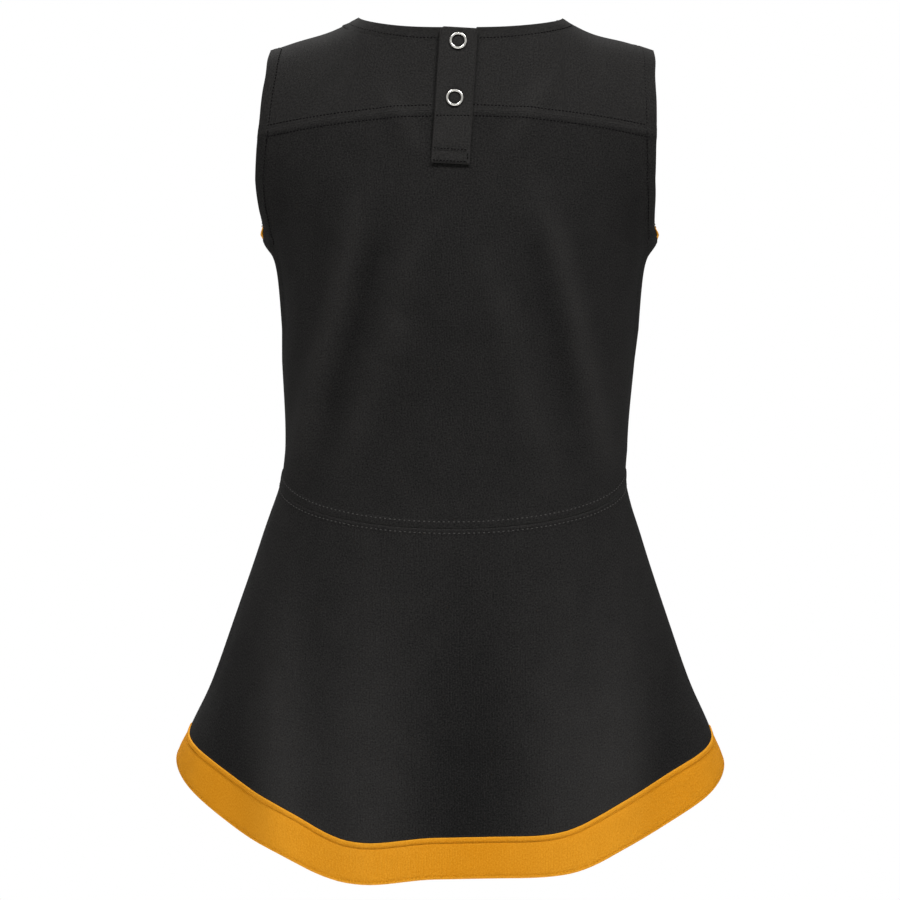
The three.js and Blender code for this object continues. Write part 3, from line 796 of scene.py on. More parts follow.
class Seamstress:
    """Lays rows of stitches beside the edges and the seams of the draped dress."""

    def __init__(self, cutter: PanelCutter) -> None:
        """Keeps the cutter."""
        self.cutter = cutter

    def beside(
        self, side: Side, u: Array, z: Array, distance: float, lift: float, turn: float = 1.0, **sewn: float
    ) -> Row:
        """A row at a distance from a path of columns u and heights z.

        Args:
            side: Back or front.
            u: Columns of the path.
            z: Heights of the path.
            distance: How far the row is from the path, in millimetres.
            lift: Height of the row over the cloth.
            turn: 1 for the lower side of a path that runs to the wearer's left, -1 for the upper side.
            sewn: Pitch, length and radius of the stitches.

        Returns:
            The row.
        """
        shape = self.cutter.shape
        path = shape.base(side, u, z)
        out = shape.normal(side, u, z)
        aside = unit(np.cross(out, np.gradient(path, axis=0))) * side.value * turn
        moved = path + aside * distance
        z_new = moved[..., 2]
        u_new = np.clip(self.cutter.u_of_x(moved[..., 0], z_new), -1, 1)
        points = self.cutter.drape.point(side, u_new, z_new, lift)
        return Row(points, shape.normal(side, u_new, z_new), **sewn)

    @staticmethod
    def sew(name: str, rows: Sequence[Row], material: bpy.types.Material) -> bpy.types.Object:
        """Makes one mesh of all the stitches of some rows; each stitch dips into the cloth at its ends."""
        along = np.array([-0.5, -0.38, 0.0, 0.38, 0.5])
        swell = np.array([0.35, 0.85, 1.0, 0.85, 0.35])
        rise = np.array([-1.1, -0.1, 0.25, -0.1, -1.1])
        angles = np.arange(6) * np.pi / 3
        points, quads, ends = [], [], []
        count = 0
        for row in rows:
            length = np.concatenate([[0], np.cumsum(np.linalg.norm(np.diff(row.points, axis=0), axis=1))])
            starts = np.arange(row.pitch / 2, length[-1] - row.pitch / 2, row.pitch)
            for start in starts:
                here = [np.interp(start, length, row.points[:, k]) for k in range(3)]
                ahead = [np.interp(start + row.length, length, row.points[:, k]) for k in range(3)]
                out = unit(np.array([np.interp(start, length, row.out[:, k]) for k in range(3)]))
                way = unit(np.array(ahead) - here)
                across = np.cross(way, out)
                middle = (np.array(here) + ahead) / 2
                for t, w, h in zip(along, swell, rise):
                    centre = middle + way * t * row.length + out * h * row.radius
                    ring = np.outer(np.cos(angles), out) + np.outer(np.sin(angles), across)
                    points.append(centre + ring * w * row.radius)
                for ring in range(len(along) - 1):
                    a = count + ring * 6
                    quads += [(a + k, a + 6 + k, a + 6 + (k + 1) % 6, a + (k + 1) % 6) for k in range(6)]
                ends.append(tuple(count + k for k in range(6)))
                ends.append(tuple(count + 24 + k for k in reversed(range(6))))
                count += 30
        return mesh_object(name, np.concatenate(points), quads + ends, material)


# ------------------------------------------------------------------ panels of the dress


@dataclass
class Wardrobe:
    """The finishes that the pieces share."""

    black: bpy.types.Material
    gold: bpy.types.Material
    black_thread: bpy.types.Material
    highlight_painted_thread: bpy.types.Material
    gold_thread: bpy.types.Material
    interlining: bpy.types.Material
    nickel: bpy.types.Material


def finish_cloth(
    piece: bpy.types.Object, node: str, grid: Array, plies: int = 1
) -> None:
    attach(piece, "dress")
    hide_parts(node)
    declare(piece, grid, plies)
    LOG.info("%s: %d faces", piece.name, len(piece.data.polygons))


@dataclass
class Yokes:
    """The two back yokes and the front yoke, with turned neck and armhole edges."""

    cutter: PanelCutter
    placket: Placket
    hem: float = 7.0
    seam_row: float = 3.2
    painted_brightening: float = 2.2  # painted light: the yokes tilt up towards the lamps above, so they are painted brighter than the body; the value is chosen

    def build(self, cloth: Wardrobe) -> dict[str, Grid]:
        """Makes the three yokes."""
        shape = self.cutter.shape
        seam = over_x(shape.yoke_seam)
        slit_left = self._column(self.placket.line(self.placket.slit_left))
        slit_right = self._column(self.placket.line(self.placket.slit_right))
        grids = {}
        top = over_x(shape.yoke_top(Side.BACK))
        x_left = self._across(float(self.placket.line(self.placket.slit_left)(-6.0)))
        x_right = -self._across(-float(self.placket.line(self.placket.slit_right)(-6.0)))[::-1]
        rows = graded(46, 1.8, 8, 5)
        grids["back_yoke_left"] = self._yoke(Side.BACK, x_left, rows, top, seam, low=slit_left)
        grids["back_yoke_right"] = self._yoke(Side.BACK, x_right, rows, top, seam, high=slit_right)
        half = self._across(0.8)
        x_front = np.concatenate([-half[::-1], [0.0], half])
        front_top = over_x(shape.yoke_top(Side.FRONT))
        chevron = over_x(shape.chevron(shape.chevron_top))
        grids["front_yoke"] = self._yoke(Side.FRONT, x_front, graded(80, 2, 9, 3), front_top, chevron)
        for name, grid in grids.items():
            # the yokes' colour carries the painted fold light and shade plus their painted brightening
            relief, tone = self._relief(grid), grid.tone + self.painted_brightening
            piece = Cloth(name + "_cloth", grid.points, grid.out, shape.cloth, 0.2, relief=relief, tone=tone)
            piece = piece.build(cloth.black)
            finish_cloth(piece, name, grid.points)
        return grids

    def _column(self, line: Callable[[Array], Array]) -> Callable[[Array], Array]:
        """Column of a line of the placket over the height."""
        return lambda z: self.cutter.u_of_x(line(z), z)

    def _across(self, start: float) -> Array:
        """Places across one shoulder, crowded at the slit, at the neck point and at the armhole."""
        shape = self.cutter.shape
        neck, tip = shape.neck_half_width, shape.shoulder_tip_x
        inner = start + (neck - start) * graded(neck - start, 2.2, 3, 5)
        outer = neck + (tip - neck) * graded(tip - neck, 2.2, 2, 9)
        return np.concatenate([inner, outer[1:]])

    def _yoke(
        self,
        side: Side,
        x: Array,
        rows: Array,
        top: Edge,
        seam: Edge,
        low: Line = right_edge,
        high: Line = left_edge,
    ) -> Grid:
        """A yoke whose columns start at places x on its upper edge."""
        z = top(x, np.abs(x))
        s = (self.cutter.u_of_x(x, z) - low(z)) / (high(z) - low(z))
        s = np.clip(s, 0, 1)
        s[0], s[-1] = 0, 1
        return self.cutter.between(side, s, rows, top, seam, low, high)

    def _relief(self, grid: Grid) -> Array:
        """Turned edges at the neck and the armhole, and the stitched seam below."""
        shape = self.cutter.shape
        neck_x = np.linspace(-1, 1, 400) * shape.neck_half_width
        neck_z = shape.neckline(grid.side)(np.abs(neck_x))
        neck = shape.base(grid.side, self.cutter.u_of_x(neck_x, neck_z), neck_z)
        arms = []
        for u in (-1.0, 1.0):
            z = np.linspace(float(shape.shoulder_line(shape.shoulder_tip_x)), shape.underarm, 300)
            arms.append(shape.base(grid.side, np.full_like(z, u), z))
        flat = grid.points.reshape(-1, 3)
        shape_of = grid.z.shape
        near_neck = nearest(flat, neck).reshape(shape_of)
        near_arm = nearest(flat, np.concatenate(arms)).reshape(shape_of)
        height = np.maximum(turned_hem(near_neck, self.hem), turned_hem(near_arm, self.hem))
        row, rise = (self.seam_row, 0.3) if grid.side is Side.BACK else (1.6, 0.15)
        return height + seam_band(grid.above(), row, rise)


@dataclass
class Bodice:
    """The black panels of the trunk, the notch of the placket and the chevron band on the front."""

    cutter: PanelCutter
    placket: Placket
    waist_ridge: float = 0.55
    waist_row: float = 3.7

    def build(self, cloth: Wardrobe) -> dict[str, Grid]:
        """Makes the back bodice, the chevron band and the front bodice."""
        shape = self.cutter.shape
        back, keep = self._back()
        grids = {"back_bodice": back}
        arm = np.linspace(shape.yoke_seam(shape.shoulder_tip_x), shape.underarm, 200)
        arms = np.concatenate([shape.base(Side.BACK, np.full_like(arm, u), arm) for u in (-1.0, 1.0)])
        near_arm = nearest(back.points.reshape(-1, 3), arms).reshape(back.z.shape)
        relief = np.maximum(turned_hem(near_arm), 0)
        relief = relief - 0.25 * bell(near_arm - 6.4, 0.45)
        relief += seam_band(back.below(), 3.2, 0.3) + seam_band(back.above(), self.waist_row, self.waist_ridge)
        relief -= 0.5 * bell(back.above(), 0.8)
        piece = Cloth("back_bodice_cloth", back.points, back.out, shape.cloth, 0.2, keep, relief, 1, back.tone).build(
            cloth.black
        )
        finish_cloth(piece, "back_bodice", back.points)

        columns = graded(212, 2.4, 9, 9)
        upper = over_x(shape.chevron(shape.chevron_top))
        lower = over_x(shape.chevron(shape.chevron_bottom))
        chevron = self.cutter.between(Side.FRONT, columns, graded(36, 1.6, 3, 3), upper, lower)
        relief = seam_band(chevron.below(), 1.6, 0.3) + seam_band(chevron.above(), 1.6, 0.3)
        piece = Cloth(
            "front_chevron_band_cloth", chevron.points, chevron.out, shape.cloth, 0.4, relief=relief, tone=chevron.tone
        ).build(cloth.gold)
        finish_cloth(piece, "front_chevron_band", chevron.points)

        waist = over_u(shape.waist)
        front = self.cutter.between(Side.FRONT, columns, graded(120, 2.4, 3, 6), lower, waist)
        relief = seam_band(front.below(), 1.6, 0.15) + seam_band(front.above(), self.waist_row, self.waist_ridge)
        piece = Cloth(
            "front_bodice_cloth", front.points, front.out, shape.cloth, 0.4, relief=relief, tone=front.tone
        ).build(cloth.black)
        finish_cloth(piece, "front_bodice", front.points)
        return grids | {"front_chevron_band": chevron, "front_bodice": front}

    def _back(self) -> tuple[Grid, Array]:
        """Grid of the back panel and the quads it has round the notch of the placket."""
        shape, placket = self.cutter.shape, self.placket
        lines = [placket.line(placket.slit_right), placket.line(placket.slit_left)]
        rows_low = graded(206, 2.4, 2, 7)
        rows_high = graded(22, 1.4, 5, 1.5)
        blocks = [graded(98, 2.4, 9, 3), graded(17.8, 1.6, 1.5, 1.5), graded(98, 2.4, 3, 9)]
        right = len(blocks[0]) - 1
        left = right + len(blocks[1]) - 1

        block = np.concatenate([np.full(len(part) - bool(k), k) for k, part in enumerate(blocks)])
        share = np.concatenate([part[bool(k) :] for k, part in enumerate(blocks)])

        def columns(z: Array) -> Array:
            """Columns of the grid at heights z."""
            cuts = [-1.0 + 0 * z, *(self.cutter.u_of_x(line(z), z) for line in lines), 1.0 + 0 * z]
            return np.choose(block, cuts[:3]) * (1 - share) + np.choose(block, cuts[1:]) * share

        def settle(edge: Edge) -> Array:
            """Heights at which the columns meet an edge."""
            z = np.full(len(block), -80.0)
            for _ in range(40):
                u = columns(z)
                x = shape.base(Side.BACK, u, z)[..., 0]
                z = 0.5 * z + 0.5 * edge(u, x)
            return z

        foot = placket.world([[x, 0, -placket.slit_length] for x in (placket.slit_right, placket.slit_left)])
        slope = (foot[1, 2] - foot[0, 2]) / (foot[1, 0] - foot[0, 0])

        z_top = settle(over_x(shape.yoke_seam))
        z_mid = settle(lambda u, x: foot[0, 2] + slope * (np.clip(x, foot[0, 0], foot[1, 0]) - foot[0, 0]))
        z_low = settle(over_u(shape.waist))
        high = z_top[None] + (z_mid - z_top)[None] * rows_high[:, None]
        low = z_mid[None] + (z_low - z_mid)[None] * rows_low[1:, None]
        z = np.concatenate([high, low])
        u = columns(z)
        keep = np.ones((z.shape[0] - 1, z.shape[1] - 1), bool)
        keep[: len(rows_high) - 1, right:left] = False
        return Grid(Side.BACK, u, z, self.cutter.drape), keep


@dataclass
class Skirt:
    """The flared skirt panels and the folded gold bands at the hem."""

    cutter: PanelCutter
    waist_row: float = 2.7
    lip: float = 2.9
    bottom_row: float = 1.5
    side_row: float = 3.0

    def build(self, cloth: Wardrobe) -> dict[str, Grid]:
        """Makes two skirt panels and two hem bands."""
        shape = self.cutter.shape
        grids = {}
        columns = graded(290, 2.6, 4, 4)
        waist, band_top, hem = over_u(shape.waist), over_u(shape.band_top), over_u(shape.hem)
        for side in Side:
            name = side.name.lower()
            skirt = self.cutter.between(side, columns, graded(170, 2.6, 5, 2), waist, band_top)
            relief = seam_band(skirt.below(), self.waist_row, 0.35) - 0.5 * bell(skirt.below(), 0.8)
            piece = Cloth(
                name + "_skirt_cloth", skirt.points, skirt.out, shape.cloth, 0.4, relief=relief, tone=skirt.tone
            ).build(cloth.black)
            finish_cloth(piece, name + "_skirt", skirt.points)
            band = self.cutter.between(side, columns, graded(23, 0.9, 5, 3), band_top, hem)
            piece = Cloth(
                name + "_hem_band_cloth",
                band.points,
                band.out,
                shape.band_thick,
                0.7,
                relief=self._band_relief(band),
                plies=2,
                # the gold band gets half the painted fold light and shade
                tone=band.tone * 0.5,
            ).build(cloth.gold)
            finish_cloth(piece, name + "_hem_band", band.points, 2)
            grids |= {name + "_skirt": skirt, name + "_hem_band": band}
        return grids

    def _band_relief(self, band: Grid) -> Array:
        """A full lip along the top of the band and pulled-in rows at the lip, the bottom and the sides."""
        below, above = band.below(), band.above()
        across = arc_lengths(band.points)[..., 0]
        side = np.minimum(across - across[:, :1], across[:, -1:] - across)
        lip = 0.55 * (1 - smooth(below, self.lip - 0.5, self.lip + 0.3)) - 0.45 * bell(below - self.lip - 0.2, 0.5)
        rows = -0.3 * bell(above - self.bottom_row, 0.45) - 0.2 * bell(side - self.side_row, 0.45)
        puff = 0.25 * smooth(below, self.lip, self.lip + 5) * smooth(above, 1.5, 6)
        return lip + rows + puff


@dataclass
class NeckFacing:
    """The strip inside the neck, from one side of the placket round the front to the other."""

    cutter: PanelCutter
    width: float = 9.0
    thick: float = 0.8
    air: float = 1.2
    from_placket: float = 13.0

    def build(self, cloth: Wardrobe) -> None:
        """Makes the strip as one shell."""
        shape = self.cutter.shape
        half = 1 - np.linspace(0, 1, 46) ** 1.4
        strips = [
            self._stretch(Side.BACK, half[:0:-1], -1, self.from_placket),
            self._stretch(Side.FRONT, half, -1, 0.0),
            self._stretch(Side.FRONT, half[-2::-1], 1, 0.0),
            self._stretch(Side.BACK, half[1:], 1, self.from_placket),
        ]
        points = np.concatenate([strip[0] for strip in strips], 1)
        out = np.concatenate([strip[1] for strip in strips], 1)
        inset = points - out * (shape.cloth + self.air)
        piece = Cloth("neck_facing_cloth", inset, out, self.thick, 0.3).build(cloth.black)
        finish_cloth(piece, "neck_facing", inset)

    def _stretch(self, side: Side, share: Array, hand: int, start: float) -> tuple[Array, Array]:
        """Points and directions of one stretch; share is 0 at its start and 1 at the shoulder, hand 1 on the left."""
        shape = self.cutter.shape
        neck = shape.neckline(side)
        first = math.asin(start / shape.neck_half_width)
        x_edge = shape.neck_half_width * np.sin(first + (np.pi / 2 - first) * share)
        low = math.atan(shape.shoulder_slope)
        angle = np.pi / 2 + (low - np.pi / 2) * (x_edge / shape.neck_half_width) ** 3
        v = np.linspace(0, self.width, 10)[:, None]
        x = x_edge + v * np.cos(angle)
        fall = np.maximum(np.sin(angle) - shape.shoulder_slope * np.cos(angle), 0)
        z = shape.shoulder_line(x) - (shape.shoulder_line(x_edge) - neck(x_edge) + v * fall)
        y = side.value * (shape.depth(side, x, z) - 0.05)
        u = self.cutter.u_of_x(hand * x, z)
        return np.stack([hand * x, y, z], -1), shape.normal(side, u, z)


# ------------------------------------------------------------------ placket and snaps


@dataclass
class Strip:
    """A strip of the placket: cloth folded round a pocket that holds the interlining."""

    placket: Placket
    name: str
    nodes: tuple[str, ...]
    body: str
    levels: tuple[float, float]
    edges: tuple[Callable[[Array], Array], Callable[[Array], Array]]
    leg: float
    facing: int
    ply: float = 0.9
    painted_brightening: float = 3.6  # painted light: the strips are painted brighter than the body's cloth; the value is chosen

    def build(self, cloth: Wardrobe) -> None:
        """Makes the strip with its rounded edges, its puffiness and the dimples under the rings."""
        low, high = self.levels
        rows = graded(self.placket.length, 1.0, 2.5, 10)
        columns = graded(21, 0.55, 2.5, 2.5, 0.3)
        down = rows[:, None] * self.placket.length
        sewn = smooth(down, 65, 71) * (self.facing > 0)
        middle, half = (low + high) / 2 - 0.35 * sewn, (high - low) / 2 - 0.35 * sewn
        left, right = self.edges[0](down), self.edges[1](down)
        x = left + (right - left) * columns
        near = np.minimum.reduce([right - x, down + 0 * x, self.placket.length - down + 0 * x])
        drop = rounded(near, half - 0.02)
        puff = 0.22 * smooth(np.minimum(near, x - left), 0.6, 4.0) - 0.22
        top = middle + half - drop + puff + self._dimples(x, down) * (self.facing > 0)
        bottom = middle - half + drop - puff + self._dimples(x, down) * (self.facing < 0)
        if self.facing > 0:
            crease = np.sqrt(1 - (1 - np.clip((x - left) / 3.2, 0, 1)) ** 2)
            top = np.minimum(top, low + 0.12 + (high - low) * crease)
            bottom = np.minimum(bottom, top - 0.02)
        else:
            top = top + self.leg * (1 - smooth(right - x, 0.8, 1.3))
            bottom = bottom + rounded(x - left, half - 0.02)
            top = np.maximum(top - rounded(x - left, half - 0.02), bottom + 0.02)
        near = np.minimum(near, x - left)
        z = -down + 0 * x
        upper, lower = (self.placket.world(np.stack([x, y, z], -1)) for y in (top, bottom))
        faces = grid_faces(*x.shape, None)
        points, quads = close_shell(upper, lower, faces, border(faces))
        inner = slice(3, -3)
        pocket_x = x[inner, inner] * 0.93 + 0.07 * ((left + right) / 2)[inner]
        pocket = [
            self.placket.world(np.stack([pocket_x, np.full_like(pocket_x, y), z[inner, inner]], -1))
            for y in (low + self.ply, high - self.ply)
        ]
        hollow = grid_faces(*pocket_x.shape, None)
        more, more_quads = close_shell(pocket[0], pocket[1], hollow, border(hollow))
        quads = np.concatenate([quads, more_quads + len(points)])
        uv = np.stack([x, -down + 0 * x], -1).reshape(-1, 2)
        pocket_uv = np.stack([pocket_x, z[inner, inner]], -1).reshape(-1, 2)
        piece = mesh_object(self.name, np.concatenate([points, more]), quads, cloth.black)
        edge = near.ravel()
        put_attribute(piece, "edge", np.concatenate([edge, edge, np.full(2 * len(pocket_uv), 9.0)]))
        # painted light: the whole strip is painted brighter through the fold attribute
        put_attribute(piece, "fold", np.full(2 * (len(edge) + len(pocket_uv)), self.painted_brightening))
        put_uv(piece, np.concatenate([uv, uv, pocket_uv, pocket_uv]))
        self.placket.bend(piece, self.body)
        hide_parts(*self.nodes)
        LOG.info("%s: %d faces", piece.name, len(piece.data.polygons))

    def _dimples(self, x: Array, down: Array) -> Array:
        """Cloth pulled in under the rings and pushed up inside them."""
        total = 0 * x
        for height in self.placket.snaps:
            radius = np.hypot(x, down + height)
            pulled = -0.28 * smooth(radius, 2.6, 3.5) * (1 - smooth(radius, 5.4, 7.4))
            total = total + pulled + 0.2 * (1 - smooth(radius, 0.5, 3.3))
        return total * self.facing


@dataclass
class Interlining:
    """A thin stiffener that lies in the pocket of a strip of the placket."""

    placket: Placket
    node: str
    body: str
    floor: float
    sides: tuple[float, float]
    thick: float = 0.3
    margin: float = 2.8

    def build(self, cloth: Wardrobe) -> None:
        """Makes the stiffener, slightly rippled."""
        long = self.placket.split - self.margin - 1.5
        rows = graded(long, 1.2, 1, 1)
        x = self.sides[0] + (self.sides[1] - self.sides[0]) * np.linspace(0, 1, 22)[None] + 0 * rows[:, None]
        z = -self.margin - long * rows[:, None] + 0 * x
        level = self.floor + self.thick + 0.04 * np.sin(z * 0.9 + 0.4 * x)
        grid = self.placket.world(np.stack([x, level, z], -1))
        out = np.broadcast_to(self.placket.turn[:, 1], grid.shape)
        piece = Cloth(self.node + "_sheet", grid, out, self.thick, 0.1).build(cloth.interlining)
        self.placket.bend(piece, self.body)
        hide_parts(self.node)
        declare(piece, grid)


@dataclass
class RingSnap:
    """One ring snap: cap ring, socket, stud and back ring, pressed from thin plated sheet."""

    placket: Placket
    name: str
    height: float
    outer: float = 4.85
    inner: float = 3.45

    def build(self, cloth: Wardrobe) -> None:
        """Makes the four pieces."""
        self._turned("cap_ring", self._ring(2.95, 1), "overlap_flap", cloth, 2.95, -1)
        self._turned("back_ring", self._ring(-4.8, -1), "underlap_strip", cloth, -4.8, 1)
        socket = [(2.1, 0.1), (2.35, 0.15), (3.6, 0.12), (4.6, 0.13), (4.95, -0.1), (5.0, -0.5), (4.8, -0.95)]
        socket += [(4.4, -1.15), (3.6, -1.1), (3.1, -0.8), (2.7, -0.85), (2.35, -1.1), (2.1, -0.95), (2.1, 0.1)]
        self._turned("socket", socket, "overlap_flap", cloth)
        stud = [(0.0, -2.0), (4.4, -2.0), (4.9, -1.85), (5.0, -1.6), (4.8, -1.36), (3.8, -1.32), (2.2, -1.4)]
        stud += [(1.6, -1.3), (1.55, -0.85), (1.75, -0.55), (1.7, -0.3), (1.35, -0.17), (0.9, -0.2), (0.0, -0.24)]
        self._turned("stud", stud, "underlap_strip", cloth)

    def _ring(self, level: float, facing: int) -> list[tuple[float, float]]:
        """Section of a ring with a full round face and a rolled rim."""
        middle, half = (self.outer + self.inner) / 2, (self.outer - self.inner) / 2
        section = []
        for angle in np.linspace(0, np.pi, 15):
            reach = math.copysign(abs(math.cos(angle)) ** 0.8, math.cos(angle))
            section.append((middle + half * reach, level + facing * (0.15 + 0.75 * math.sin(angle) ** 0.8)))
        section = [(self.outer - 0.12, level)] + section + [(self.inner + 0.12, level), (self.outer - 0.12, level)]
        return section

    def _turned(
        self,
        part: str,
        section: Sequence[tuple[float, float]],
        body: str,
        cloth: Wardrobe,
        prong_level: float | None = None,
        prong_way: int = 0,
    ) -> None:
        """Turns a section about the snap's axis, adds the prongs of a ring and sets the piece on its body."""
        steps = 72
        angles = np.arange(steps) * 2 * np.pi / steps
        points, quads = [], []
        for r, y in section:
            points.append(np.stack([r * np.cos(angles), np.full(steps, y), self.height + r * np.sin(angles)], -1))
        for i in range(len(section) - 1):
            a = i * steps + np.arange(steps)
            b = i * steps + (np.arange(steps) + 1) % steps
            quads.append(np.stack([a, b, b + steps, a + steps], -1))
        local = np.concatenate(points)
        faces = np.concatenate(quads).tolist()
        if prong_level is not None:
            local, faces = self._prongs(local, faces, prong_level, prong_way)
        piece = mesh_object(f"{self.name}_snap_{part}_metal", self.placket.world(local), faces, cloth.nickel)
        self._tidy(piece)
        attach(piece, body)
        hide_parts(f"{self.name}_snap_{part}")

    def _prongs(self, local: Array, faces: list, level: float, way: int) -> tuple[Array, list]:
        """Adds five prongs that go from the ring through the cloth."""
        for k in range(5):
            turn = k * 2 * np.pi / 5 + np.pi / 2
            centre = np.array([3.9 * math.cos(turn), 0, self.height + 3.9 * math.sin(turn)])
            start = len(local)
            for y, r in ((level + 0.1 * -way, 0.35), (level + 2.6 * way, 0.32), (level + 2.95 * way, 0.12)):
                ring = np.arange(8) * np.pi / 4
                circle = np.stack([r * np.cos(ring), np.full(8, y), r * np.sin(ring)], -1)
                local = np.concatenate([local, centre + circle])
            for layer in range(2):
                a = start + layer * 8
                faces += [(a + i, a + (i + 1) % 8, a + 8 + (i + 1) % 8, a + 8 + i) for i in range(8)]
            faces += [tuple(start + i for i in range(8)), tuple(start + 16 + i for i in reversed(range(8)))]
        return local, faces

    @staticmethod
    def _tidy(piece: bpy.types.Object) -> None:
        """Joins doubled points and turns the faces outward."""
        work = bmesh.new()
        work.from_mesh(piece.data)
        bmesh.ops.remove_doubles(work, verts=work.verts, dist=1e-7)
        bmesh.ops.recalc_face_normals(work, faces=work.faces)
        work.to_mesh(piece.data)
        work.free()
        piece.data.shade_smooth()


@dataclass
class PlacketParts:
    """The flap, the underlap, their stiffeners and the snaps that join them."""

    placket: Placket

    def build(self, cloth: Wardrobe) -> None:
        """Makes every piece of the placket."""
        placket = self.placket
        flap = Strip(
            placket,
            "placket_overlap_cloth",
            ("placket_overlap", "placket_overlap_foot"),
            "overlap_flap",
            placket.flap_levels,
            (lambda down: placket.root - 0.2 + 0 * down, placket.free_edge),
            0.0,
            1,
        )
        flap.build(cloth)
        underlap = Strip(
            placket,
            "placket_underlap_cloth",
            ("placket_underlap", "placket_underlap_foot"),
            "underlap_strip",
            placket.underlap_levels,
            (lambda down: placket.underlap_free + 0 * down, lambda down: placket.underlap_root + 0 * down),
            2.0,
            -1,
        )
        underlap.build(cloth)
        Interlining(placket, "overlap_interfacing", "overlap_flap", 1.4, (-8.4, 8.6)).build(cloth)
        Interlining(placket, "underlap_interfacing", "underlap_strip", -3.55, (-7.6, 5.2)).build(cloth)
        for name, height in zip(("upper", "lower"), placket.snaps):
            RingSnap(placket, name, height).build(cloth)
        LOG.info("placket with %d snaps", len(placket.snaps))


# ------------------------------------------------------------------ stitching of the whole dress


@dataclass
class Stitching:
    """Every row of stitches on the outside of the dress."""

    seamstress: Seamstress
    placket: Placket

    def build(self, cloth: Wardrobe) -> None:
        """Sews the rows of the edges, the seams, the bands and the placket."""
        edges = self._neck() + self._armholes() + self._yoke_seam()
        self._sewn("edge_stitches", edges, cloth.black_thread)
        # painted highlight: the waist rows use thread painted grey, standing in for the light the stitches catch
        self._sewn("waist_stitches", self._waist(), cloth.highlight_painted_thread)
        self._sewn("band_stitches", self._bands() + self._chevron(), cloth.gold_thread)
        flap = Seamstress.sew("placket_stitches", self._flap(), cloth.black_thread)
        self.placket.bend(flap, "overlap_flap")

    def _sewn(self, name: str, rows: Sequence[Row], thread: bpy.types.Material) -> None:
        """Sews rows onto the dress."""
        piece = self.seamstress.sew(name, rows, thread)
        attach(piece, "dress")
        LOG.info("%s: %d rows, %d faces", name, len(rows), len(piece.data.polygons))

    def _path(self, side: Side, x: Array, height: Array) -> tuple[Array, Array]:
        """Columns and heights of a path over x."""
        return self.seamstress.cutter.u_of_x(x, height), height

    def _neck(self) -> list[Row]:
        """Rows below the neck edge: two on the back beside the placket, one round the front."""
        shape, placket = self.seamstress.cutter.shape, self.placket
        rows = []
        right, left = (float(placket.line(c)(-12.0)) for c in (placket.slit_right - 0.6, placket.free_top + 0.5))
        reach = shape.neck_half_width - 0.6
        for side, x0, x1 in ((Side.BACK, -reach, right), (Side.BACK, left, reach), (Side.FRONT, -reach, reach)):
            x = np.linspace(x0, x1, 300)
            u, z = self._path(side, x, shape.neckline(side)(np.abs(x)))
            rows.append(self.seamstress.beside(side, u, z, 6.4, 0.22))
        return rows

    def _armholes(self) -> list[Row]:
        """Rows beside the armhole edges."""
        shape = self.seamstress.cutter.shape
        rows = []
        z = np.linspace(float(shape.shoulder_line(shape.shoulder_tip_x)) - 1, shape.underarm + 2, 300)
        for side in Side:
            for hand in (-1, 1):
                rows.append(self.seamstress.beside(side, np.full_like(z, hand), z, 6.4, 0.22, hand * side.value))
        return rows

    def _yoke_seam(self) -> list[Row]:
        """Two rows on either side of the yoke seam on each side of the flap, and one on the front."""
        shape, placket = self.seamstress.cutter.shape, self.placket
        seam = shape.yoke_seam
        rows = []
        tip = shape.shoulder_tip_x + 4
        right, left = (float(placket.line(c)(-54.0)) for c in (placket.slit_right - 0.6, placket.free_bottom + 0.4))
        for x0, x1 in ((-tip, right), (left, tip)):
            x = np.linspace(x0, x1, 300)
            u, z = self._path(Side.BACK, x, seam(np.abs(x)))
            rows += [self.seamstress.beside(Side.BACK, np.clip(u, -1, 1), z, 3.2, 0.2, turn) for turn in (-1, 1)]
        return rows

    def _waist(self) -> list[Row]:
        """Rows above and below the waist seam."""
        shape = self.seamstress.cutter.shape
        u = np.linspace(-0.99, 0.99, 500)
        sewn = dict(pitch=2.75, length=1.2, radius=0.24)
        rows = []
        for side in Side:
            rows.append(self.seamstress.beside(side, u, shape.waist(u), 3.7, 0.4, -1.0, **sewn))
            rows.append(self.seamstress.beside(side, u, shape.waist(u), 2.7, 0.22, 1.0, **sewn))
        return rows

    def _bands(self) -> list[Row]:
        """Rows under the lip and above the bottom edge of the hem bands."""
        shape = self.seamstress.cutter.shape
        u = np.linspace(-0.985, 0.985, 900)
        rows = []
        for side in Side:
            rows.append(self.seamstress.beside(side, u, shape.band_top(u), 3.1, -0.28))
            rows.append(self.seamstress.beside(side, u, shape.hem(u), 1.5, -0.18, -1.0))
        return rows

    def _chevron(self) -> list[Row]:
        """Rows inside both edges of the chevron band."""
        shape = self.seamstress.cutter.shape
        rows = []
        for line, turn in ((shape.chevron_top, 1.0), (shape.chevron_bottom, -1.0)):
            u = np.linspace(-0.985, 0.985, 500)
            z = np.full_like(u, line[0])
            for _ in range(30):
                z = shape.chevron(line)(np.abs(shape.base(Side.FRONT, u, z)[..., 0]))
            rows.append(self.seamstress.beside(Side.FRONT, u, z, 1.6, 0.1, turn))
        return rows

    def _flap(self) -> list[Row]:
        """The sewn box at the foot of the flap and the rows that cross it."""
        placket = self.placket
        top = placket.flap_levels[1]
        paths = [
            ([-9.2, -70.4], [9.8, -70.4], -0.02),
            ([-9.2, -77.2], [9.8, -77.2], -0.35),
            ([-9.2, -71.4], [-9.2, -76.2], -0.35),
            ([-9.6, -50.6], [10.1, -51.6], 0.0),
        ]
        rows = []
        for start, end, lift in paths:
            line = np.linspace(start, end, 60)
            local = np.stack([line[:, 0], np.full(60, top + lift), line[:, 1]], -1)
            out = np.broadcast_to(placket.turn[:, 1], local.shape)
            rows.append(Row(placket.world(local), out, 1.9, 1.2, 0.26))
        return rows


# ------------------------------------------------------------------ finishes


